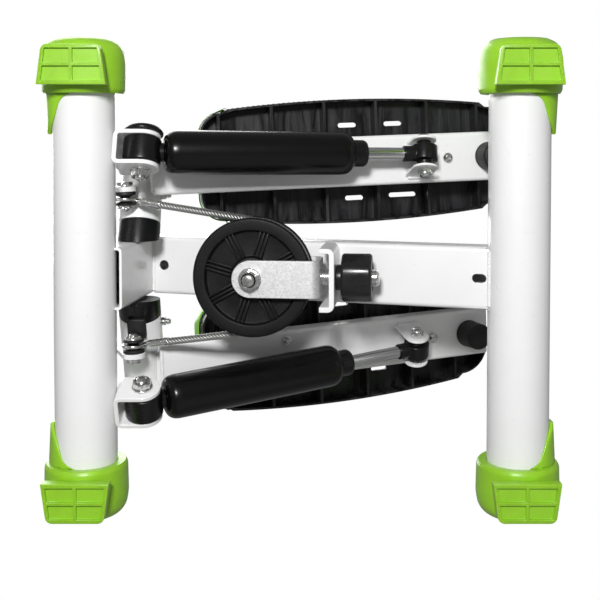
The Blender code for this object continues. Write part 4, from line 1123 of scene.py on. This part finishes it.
def build_pedal(side_name, side, deck):
    body = f"{side_name}_pedal"
    base, top = ARM_TOP + GAP, ARM_TOP + PEDAL_HEIGHT
    plate = prism(both_edges(pedal_edge(0.4, 104, 0.4)), top - 3.4, top - 0.9)
    crown = soft_prism(both_edges(pedal_edge(1.2, 24)), top - 2.0, top, 0.9)
    skirt = prism(both_edges(pedal_edge(0.8, 24)), base, top - 1.0)
    piece(f"{side_name}_pedal", body, "black_plastic", skirt, deck, add=[plate, crown],
          cut=[gathered(pedal_pockets()), pedal_slots(side, SLOT_HALF)], finish="pedal")
    edge, ridges = pedal_edge(8.0, 24), []
    for k in range(RIDGES):
        y = PEDAL_SPAN[0] + 14 + RIDGE_PITCH * k
        within = min(max(y, PEDAL_SPAN[0] + 8.1), PEDAL_SPAN[1] - 8.1)
        ridges.append(ridge(y, min(edge_x(edge, within), RIDGE_HALF), top))
    piece(f"{side_name}_tread", body, "black_plastic", gathered(ridges), deck,
          cut=[pedal_slots(side, SLOT_HALF + 0.1)], edge=0.35, stands_for="", finish="pedal")
    trim = soft_prism(toe_outline(side), base + 11, top + 2.6, 0.35)
    piece(f"{side_name}_toe_trim", body, "trim_green", trim, deck)
    piece(f"{side_name}_pedal_screw", body, "zinc_steel", button_screw(),
          deck @ Matrix.Translation((0, PEDAL_SCREW_Y, 0)))
    if side < 0:
        piece("right_arm_screw", body, "zinc_steel", button_screw(),
              deck @ Matrix.Translation(ARM_SCREW), stands_for="")


def build_bumper(side_name, deck):
    low, seat, radius = ARM_BOTTOM - GAP - BUMPER_HEIGHT, ARM_BOTTOM - GAP, BUMPER_RADIUS
    profile = eased([(0, low), (radius - 2.5, low), (radius - 0.5, low + 2), (radius - 0.4, seat - 5),
                     (radius, seat - 4), (radius, seat), (0, seat)], 1.4, 5)
    piece(f"{side_name}_bumper", f"{side_name}_pedal", "black_rubber", turned(profile, 96),
          deck @ Matrix.Translation((0, BUMPER_Y, 0)))


def build_rod_clevis(side_name, side, deck):
    x, y, z = ROD_EYE_DECK
    body = f"{side_name}_pedal"
    local = end_frame((side * x, y, z), axis_in_deck(side), (0, 0, -1))
    to_local = local.inverted()
    inside, wall, half, plate_half = 13.4, 2.4, 12.5, 17.5
    seat = to_local @ Vector((0, 0, ARM_BOTTOM - GAP))
    up = to_local.to_3x3() @ Vector((0, 0, 1))
    flanges = [sliced(prism(tongue_outline(60, half), low, low + wall), seat, -up)
               for low in (-inside - wall, inside)]
    middle = side * (x - (ARM_BOTTOM - z) * tan(radians(TILT)))
    plate = moved(block((middle - plate_half, middle + plate_half), (y - half, y + half),
                        (ARM_BOTTOM - GAP - wall, ARM_BOTTOM - GAP), 0.9), to_local)
    hole = turned(pin(4.4, -30, 30))
    piece(f"{side_name}_rod_clevis", body, "white_paint", plate, deck @ local, add=flanges,
          cut=[hole], edge=0.5)
    out = inside + wall + GAP
    piece(f"{side_name}_rod_bolt", body, "zinc_steel",
          dome_bolt(4.0, -out - 9, out + 4.5, 4.5, 6.5, 7.5), deck @ local)


def build_cable_lug(side_name, side, deck):
    x, y, z = LUG_DECK
    body = f"{side_name}_pedal"
    local = end_frame((side * x, y, z), (side, 0, 0), (0, 0, -1))
    saddle = moved(pivot_cutter(), local.inverted() @ pivot_in_deck(side))
    hole = turned(pin(4.4, -40, 40))
    piece(f"{side_name}_cable_lug", body, "white_paint", prism(tongue_outline(32, 11.0), 7.2, 12.2),
          deck @ local, cut=[saddle, hole], edge=0.6)
    piece(f"{side_name}_cable_bolt", body, "zinc_steel",
          hex_bolt(4.0, -11.7, 17.0, 4.3, 3.2, 7.5), deck @ local)
    grommet = turned(eased([(4.3, -5.9), (9.6, -5.9), (10.4, -4.2), (5.0, -2.2), (5.0, 2.2),
                            (10.4, 4.2), (10.0, 6.9), (4.3, 6.9)], 0.6))
    piece(f"{side_name}_cable_grommet", body, "black_rubber", grommet, deck @ local)


# ---- hydraulic cylinders ----------------------------------------------------------------------

def build_cylinder(side_name, side):
    matrix = cylinder_matrix(side)
    barrel, rod = f"{side_name}_cylinder", f"{side_name}_rod"
    at_rod = matrix @ Matrix.Translation((0, 0, cylinder_length(side)))
    low, high = SLEEVE_SPAN
    radius, cavity = SLEEVE_RADIUS, 14.0
    sleeve = turned(eased([(0, low), (radius - 8, low), (radius - 3.5, low + 2),
                           (radius - 0.8, low + 6), (radius, low + 11), (radius, high - 11),
                           (radius - 0.8, high - 6), (radius - 3.5, high - 2), (radius - 6.5, high),
                           (cavity, high), (cavity, low + 8), (0, low + 8)], 3.0, 5), 96)
    to_barrel = matrix.inverted().to_3x3()
    piece(f"{side_name}_cylinder_sleeve", barrel, "sleeve_black", sleeve, matrix)
    across = aimed((0, 0, 0), to_barrel @ cylinder_axis(side), (0, 1, 0))
    bore = moved(turned(pin(BOLT_RADIUS + 0.4, -30, 30)), across)
    half, ring = EYE_HALF, EYE_RADIUS
    eye = moved(turned(eased([(0, -half), (ring, -half), (ring, half), (0, half)], 2.0, 5), 96), across)
    neck = turned(pin(9, 8, low - GAP))
    piece(f"{side_name}_cylinder_eye", barrel, "black_plastic", eye, matrix, add=[neck], cut=[bore],
          edge=0.5)
    gland_bore = ROD_RADIUS + 0.4
    gland = turned(eased([(gland_bore, high - 12), (cavity - GAP, high - 12),
                          (cavity - GAP, high + GAP), (13.2, high + GAP), (13.2, GLAND_END - 3),
                          (11.5, GLAND_END), (gland_bore, GLAND_END)], 0.9), 96)
    piece(f"{side_name}_cylinder_gland", barrel, "black_plastic", gland, matrix)
    piston, face, grip = cavity - 0.7, PISTON_LENGTH - ROD_TAIL, 6.0 - COLLAR_LENGTH
    shaft = turned(eased([(0, -ROD_TAIL), (piston, -ROD_TAIL), (piston, face), (ROD_RADIUS, face),
                          (ROD_RADIUS, grip), (0, grip)], 0.5), 96)
    piece(f"{side_name}_piston_rod", rod, "chrome", shaft, at_rod)
    collar_bore, seat = ROD_RADIUS + GAP, grip + GAP
    collar = turned(eased([(collar_bore, -COLLAR_LENGTH), (8, -COLLAR_LENGTH), (8, -8), (0, -8),
                           (0, seat), (collar_bore, seat)], 0.7))
    at_clevis = aimed((0, 0, 0), to_barrel @ outward(side), (0, 1, 0))
    head = moved(turned(eased([(0, -13), (7.2, -13), (7.2, -7.8), (13.2, -7.8), (13.2, 7.8), (7.2, 7.8),
                               (7.2, 13), (0, 13)], 1.2, 4), 96), at_clevis)
    hole = moved(turned(pin(6.3, -20, 20)), at_clevis)
    piece(f"{side_name}_rod_eye", rod, "black_plastic", collar, at_rod, add=[head], cut=[hole],
          edge=0.3)


# ---- pulley, adjuster and cable ---------------------------------------------------------------

def screw_cutter():
    return moved(turned(pin(SCREW_RADIUS + GAP, 50, 100)), along_screw())


def build_wheel():
    half, rim = PULLEY_HALF, PULLEY_RADIUS
    floor = half - 4.0
    face = [(6.4, half + 2), (19, half + 2), (20, floor), (43, floor), (44.5, half),
            (rim - 1.5, half), (rim, half - 1.5), (rim, 7.5), (48.2, 3.9)]
    profile = eased(face + [(radius, -height) for radius, height in reversed(face)], 0.9)
    piece("pulley_wheel", "pulley", "pulley_plastic", turned(profile, 144), pulley_matrix())
    ribs = []
    for group in range(8):
        direction = radians(16 + 45 * group)
        for share in (-1, 0, 1):
            for face_side in (1, -1):
                rib = block((19.6, 44.0), (share * 3.6 - 0.9, share * 3.6 + 0.9),
                            (floor - 0.8, half - 0.5), 0.35, 2)
                turn = Matrix.Rotation(direction, 4, "Z") @ Matrix.Diagonal((1, 1, face_side, 1))
                ribs.append(moved(rib, turn))
    piece("pulley_ribs", "pulley", "pulley_plastic", gathered(ribs), pulley_matrix(), stands_for="")


def build_yoke():
    matrix = pulley_matrix()
    half = YOKE_WIDTH / 2
    strap = channel(YOKE_WEB_Y + STRAP, YOKE_GAP, STRAP, 4.0, half)
    flip = Matrix.Rotation(pi, 4, "Z")
    axle_hole = turned(pin(6.3, -40, 40))
    piece("pulley_yoke", "root", "galvanised_steel", moved(strap, flip), matrix,
          cut=[moved(round_end_cutter(half), flip), axle_hole, screw_cutter()], edge=0.6)
    out = YOKE_GAP + STRAP + GAP
    piece("pulley_bolt", "root", "zinc_steel", hex_bolt(5.6, -out - 10.5, out + 5, 5, 7.5, 10),
          matrix)
    piece("pulley_lock_ring", "root", "black_plastic", lock_ring(5.6, -out - 10.5), matrix,
          stands_for="")


def build_adjuster():
    matrix = pulley_matrix()
    to_pulley = matrix.inverted() @ beam_matrix()
    seat, below = to_pulley @ Vector((0, 0, -GAP)), to_pulley.to_3x3() @ Vector((0, 0, -1))
    half, lip = BEAM_WIDTH / 2, 9.0
    middle, reach = (PLATE_HIGH + PLATE_LOW) / 2, (PLATE_HIGH - PLATE_LOW) / 2
    turn = Matrix.Translation((0, PLATE_Y - lip, middle)) @ Matrix.Rotation(
        pi / 2, 4, "Y") @ Matrix.Rotation(pi, 4, "X")
    plate = moved(channel(lip + PLATE_THICK, half - PLATE_THICK, PLATE_THICK, 1.5, reach, False), turn)
    piece("adjuster_plate", "root", "white_paint", sliced(plate, seat, below), matrix,
          cut=[screw_cutter()], edge=0.6)
    back, front = YOKE_WEB_Y - 3.0, YOKE_WEB_Y - GAP
    profile = [(0, back), (11, back), (11, front), (SCREW_RADIUS, front)]
    profile += threaded(SCREW_RADIUS, front + 0.2, SCREW_END - 2, 1.75, 0.7)
    profile += [(SCREW_RADIUS - 1.6, SCREW_END - 0.6), (SCREW_RADIUS - 2.6, SCREW_END),
                (0, SCREW_END)]
    piece("adjuster_screw", "root", "zinc_steel", moved(turned(profile), along_screw()), matrix)


def knob_section(height, radius, count=144):
    """Outline of the knob with shallow flutes between its six lobes."""
    points = []
    for k in range(count):
        angle = 2 * pi * k / count
        reach = radius * (1 - 0.03 * (1 - cos(6 * angle)))
        points.append((reach * cos(angle), reach * sin(angle), height))
    return points


def build_knob():
    (low, high), ease = KNOB_SPAN, 3.0
    rims = [(ease * (1 - cos(pi / 12 * k)), KNOB_RADIUS - ease * (1 - sin(pi / 12 * k)))
            for k in range(7)]
    rings = [knob_section(low + rise, radius) for rise, radius in rims]
    rings += [knob_section(high - rise, radius) for rise, radius in reversed(rims)]
    face = PLATE_Y + PLATE_THICK + GAP
    collar = turned(eased([(0, face), (12, face), (12, low + 2), (0, low + 2)], 0.8))
    bore = turned(pin(SCREW_RADIUS + GAP, face - 5, high + 5))
    dish = turned([(0, high - 1.2), (14.5, high - 1.2), (16, high + 1), (0, high + 1)], 96)
    piece("adjuster_knob", "knob", "knob_plastic", lofted(rings), pulley_matrix() @ along_screw(),
          add=[collar], cut=[bore, dish], edge=0.3)


def build_cable_end(side_name, side):
    """Eye and crimped ferrule, which stay in line with the cable as the arm turns."""
    lug = on_deck(side, LUG_DECK)
    eye = moved(turned(eased([(6.4, -1.5), (11.2, -1.5), (11.2, 1.5), (6.4, 1.5)], 0.9)
                       + [(6.4, 1.4)]), aimed((0, 0, 0), (1, 0, 0), (0, 1, 0)))
    along = aimed((0, 0, 0), strand_direction(side), (1, 0, 0))
    start, end = FERRULE_SPAN
    radius = FERRULE_RADIUS
    profile = [(0, start), (1.5, start), (radius - 0.4, start + 8), (radius - 0.4, end - 5),
               (radius, end - 4)]
    ferrule = turned(eased(profile + [(radius, end), (0, end)], 0.4))
    piece(f"{side_name}_cable_end", f"{side_name}_cable_end", "zinc_steel", eye,
          Matrix.Translation(lug), add=[moved(ferrule, along)])


def laid_rope(name, body, points, across):
    """Strands twisted about a near-black core that follows points, with one sideways direction each;
    the core's dark colour is painted shade in the grooves between the strands.
    """
    lengths = [0.0]
    for before, after in zip(points, points[1:]):
        lengths.append(lengths[-1] + (after - before).length)
    strands = []
    for strand in range(STRANDS):
        path = []
        for index, point in enumerate(points):
            ahead = points[min(index + 1, len(points) - 1)] - points[max(index - 1, 0)]
            first = across[index].normalized()
            second = ahead.normalized().cross(first)
            angle = 2 * pi * (strand / STRANDS + lengths[index] / ROPE_PITCH)
            path.append(point + (first * cos(angle) + second * sin(angle)) * STRAND_RING)
        strands.append(swept(path, STRAND_RADIUS, 12))
    piece(name, body, "wire_rope", gathered(strands), stands_for="cable")
    # the core's near-black colour is painted shade in the grooves between the strands
    piece(name + "_core", body, "wire_rope", swept(points, CORE_RADIUS, 16), stands_for="cable",
          finish="rope_groove_shade")


def build_cable():
    """Each straight run moves with its ferrule; the turn round the pulley stays where it is."""
    matrix = pulley_matrix()
    turn = matrix.to_3x3()
    axle = turn @ Vector((0, 0, 1))
    first, last = (matrix.inverted() @ rope_tangent(side) for side in (1, -1))
    first_angle, last_angle = atan2(first.y, first.x), atan2(last.y, last.x)
    if last_angle < first_angle:
        last_angle += 2 * pi
    points, across = [], []
    count, tail = 160, 6
    for step in range(-tail, count + tail + 1):
        share = min(max(step / count, 0.0), 1.0)
        angle = first_angle + (last_angle - first_angle) * share
        spoke = Vector((cos(angle), sin(angle), 0))
        along = Vector((-sin(angle), cos(angle), 0))
        past = TURN_ON * (min(step, 0) + max(step - count, 0)) / tail
        points.append(matrix @ (spoke * ROPE_LINE + along * past))
        across.append(turn @ spoke)
    laid_rope("cable_turn", "root", points, across)
    for side_name, side in SIDES.items():
        start = on_deck(side, LUG_DECK) + strand_direction(side) * (FERRULE_SPAN[1] - 2)
        end = rope_tangent(side) + strand_direction(side) * RUN_ON
        points = [start.lerp(end, step / 90) for step in range(91)]
        laid_rope(f"{side_name}_cable_run", f"{side_name}_cable_end", points, [axle] * len(points))


def build_set_screws():
    """The small screw with a lock nut that stands out of the rear of each pivot tube."""
    for side_name, side in SIDES.items():
        along = SET_SCREW_PLACES[side_name] - DECK_REACH
        place = deck_matrix(side) @ pivot_in_deck(side) @ Matrix.Translation((0, 0, along))
        rearward = place.inverted().to_3x3() @ Vector((0, 1, -0.12))
        profile = [(0, 19), (2.9, 19), (2.9, 21.2)] + hex_collar(4.6, 21.2, 25.4, 0.5)
        profile += threaded(2.9, 25.5, 29.6, 0.9, 0.35) + [(2.2, 30.4), (0, 30.4)]
        screw = moved(turned(profile, 48), aimed((0, 0, 0), rearward, (0, 0, 1)))
        piece(f"{side_name}_set_screw", f"{side_name}_pedal", "zinc_steel", screw, place,
              stands_for="")


# ---- the object -------------------------------------------------------------------------------

build_cross_tubes()
build_feet()
build_beam()
build_tower()
build_welds()
build_wheel()
build_yoke()
build_adjuster()
build_knob()
build_cable()
build_set_screws()
for side_name, side in SIDES.items():
    deck = deck_matrix(side)
    build_pivot_hardware(side_name, side)
    build_cylinder_bracket(side_name, side)
    build_arm(side_name, side, deck)
    build_pedal(side_name, side, deck)
    build_bumper(side_name, deck)
    build_rod_clevis(side_name, side, deck)
    build_cable_lug(side_name, side, deck)
    build_cable_end(side_name, side)
    build_cylinder(side_name, side)
build_stop_pad(deck_matrix(-1))


# ---- floor, light and camera ------------------------------------------------------------------

def build_floor():
    """A pale floor that is only there from above: the photo looks up through it from below."""
    bpy.ops.mesh.primitive_grid_add(x_subdivisions=8, y_subdivisions=8, size=14.0)
    floor = bpy.context.object
    floor.name = "studio_floor"
    made = Finish("studio_floor", Roughness=0.85, Emission_Color=(1.0, 1.0, 1.0, 1.0),
                  Emission_Strength=0.27)
    made.colour(made.ramp(made.noise(3, 3), (0.3, 0.80), (0.7, 0.83)))
    clear = made.node("ShaderNodeBsdfTransparent")
    facing = made.node("ShaderNodeNewGeometry")
    both = made.node("ShaderNodeMixShader")
    made.join(facing.outputs["Backfacing"], both.inputs["Fac"])
    made.join(made.shader.outputs["BSDF"], both.inputs[1])
    made.join(clear.outputs["BSDF"], both.inputs[2])
    made.join(both.outputs["Shader"], made.tree.nodes["Material Output"].inputs["Surface"])
    floor.data.materials.append(made.material)
    floor.visible_shadow = False
    floor.visible_diffuse = False
    floor.visible_glossy = False


def build_world():
    """White behind the object; the light that reaches it is a little brighter from above."""
    world = bpy.data.worlds.new("studio")
    bpy.context.scene.world = world
    world.use_nodes = True
    tree = world.node_tree
    tree.nodes.clear()
    place, split, rise, light, backdrop, ray, both, out = (
        tree.nodes.new("ShaderNode" + kind)
        for kind in ("TexCoord", "SeparateXYZ", "MapRange", "Background", "Background", "LightPath",
                     "MixShader", "OutputWorld"))
    for socket, value in (("From Min", -1.0), ("From Max", 1.0), ("To Min", WORLD_BELOW),
                          ("To Max", WORLD_ABOVE)):
        rise.inputs[socket].default_value = value
    for shader in (light, backdrop):
        shader.inputs["Color"].default_value = (1.0, 1.0, 1.0, 1.0)
    for source, target in ((place.outputs["Generated"], split.inputs["Vector"]),
                           (split.outputs["Z"], rise.inputs["Value"]),
                           (rise.outputs["Result"], light.inputs["Strength"]),
                           (ray.outputs["Is Camera Ray"], both.inputs["Fac"]),
                           (light.outputs["Background"], both.inputs[1]),
                           (backdrop.outputs["Background"], both.inputs[2]),
                           (both.outputs["Shader"], out.inputs["Surface"])):
        tree.links.new(source, target)


def build_light(name, at, size, watts):
    """A square soft light that faces the middle of the object."""
    lamp = bpy.data.lights.new(name, "AREA")
    lamp.shape = "RECTANGLE"
    lamp.size = lamp.size_y = size
    lamp.energy = watts
    item = bpy.data.objects.new(name, lamp)
    bpy.context.scene.collection.objects.link(item)
    item.location = at
    item.rotation_mode = "QUATERNION"
    item.rotation_quaternion = (LIT_POINT - Vector(at)).to_track_quat("-Z", "Y")


def build_camera():
    """Looks up at the underside, as the photo does, with the photo's off-centre framing."""
    data = bpy.data.cameras.new("photo_camera")
    data.lens, data.sensor_width = CAMERA_LENS, SENSOR_WIDTH
    camera = bpy.data.objects.new("photo_camera", data)
    bpy.context.scene.collection.objects.link(camera)
    pitch = radians(CAMERA_PITCH)
    axes = Matrix(((0, 1, 0), (cos(pitch), 0, sin(pitch)), (sin(pitch), 0, -cos(pitch))))
    camera.matrix_world = Matrix.Translation(CAMERA_AT) @ axes.transposed().to_4x4()
    data.shift_x = FRAMING[0]
    data.shift_y = FRAMING[1] + CAMERA_LENS / SENSOR_WIDTH * tan(pitch)
    bpy.context.scene.camera = camera


build_floor()
build_world()
for light in LIGHTS:
    build_light(*light)
build_camera()
bpy.context.scene.view_settings.view_transform = "Standard"
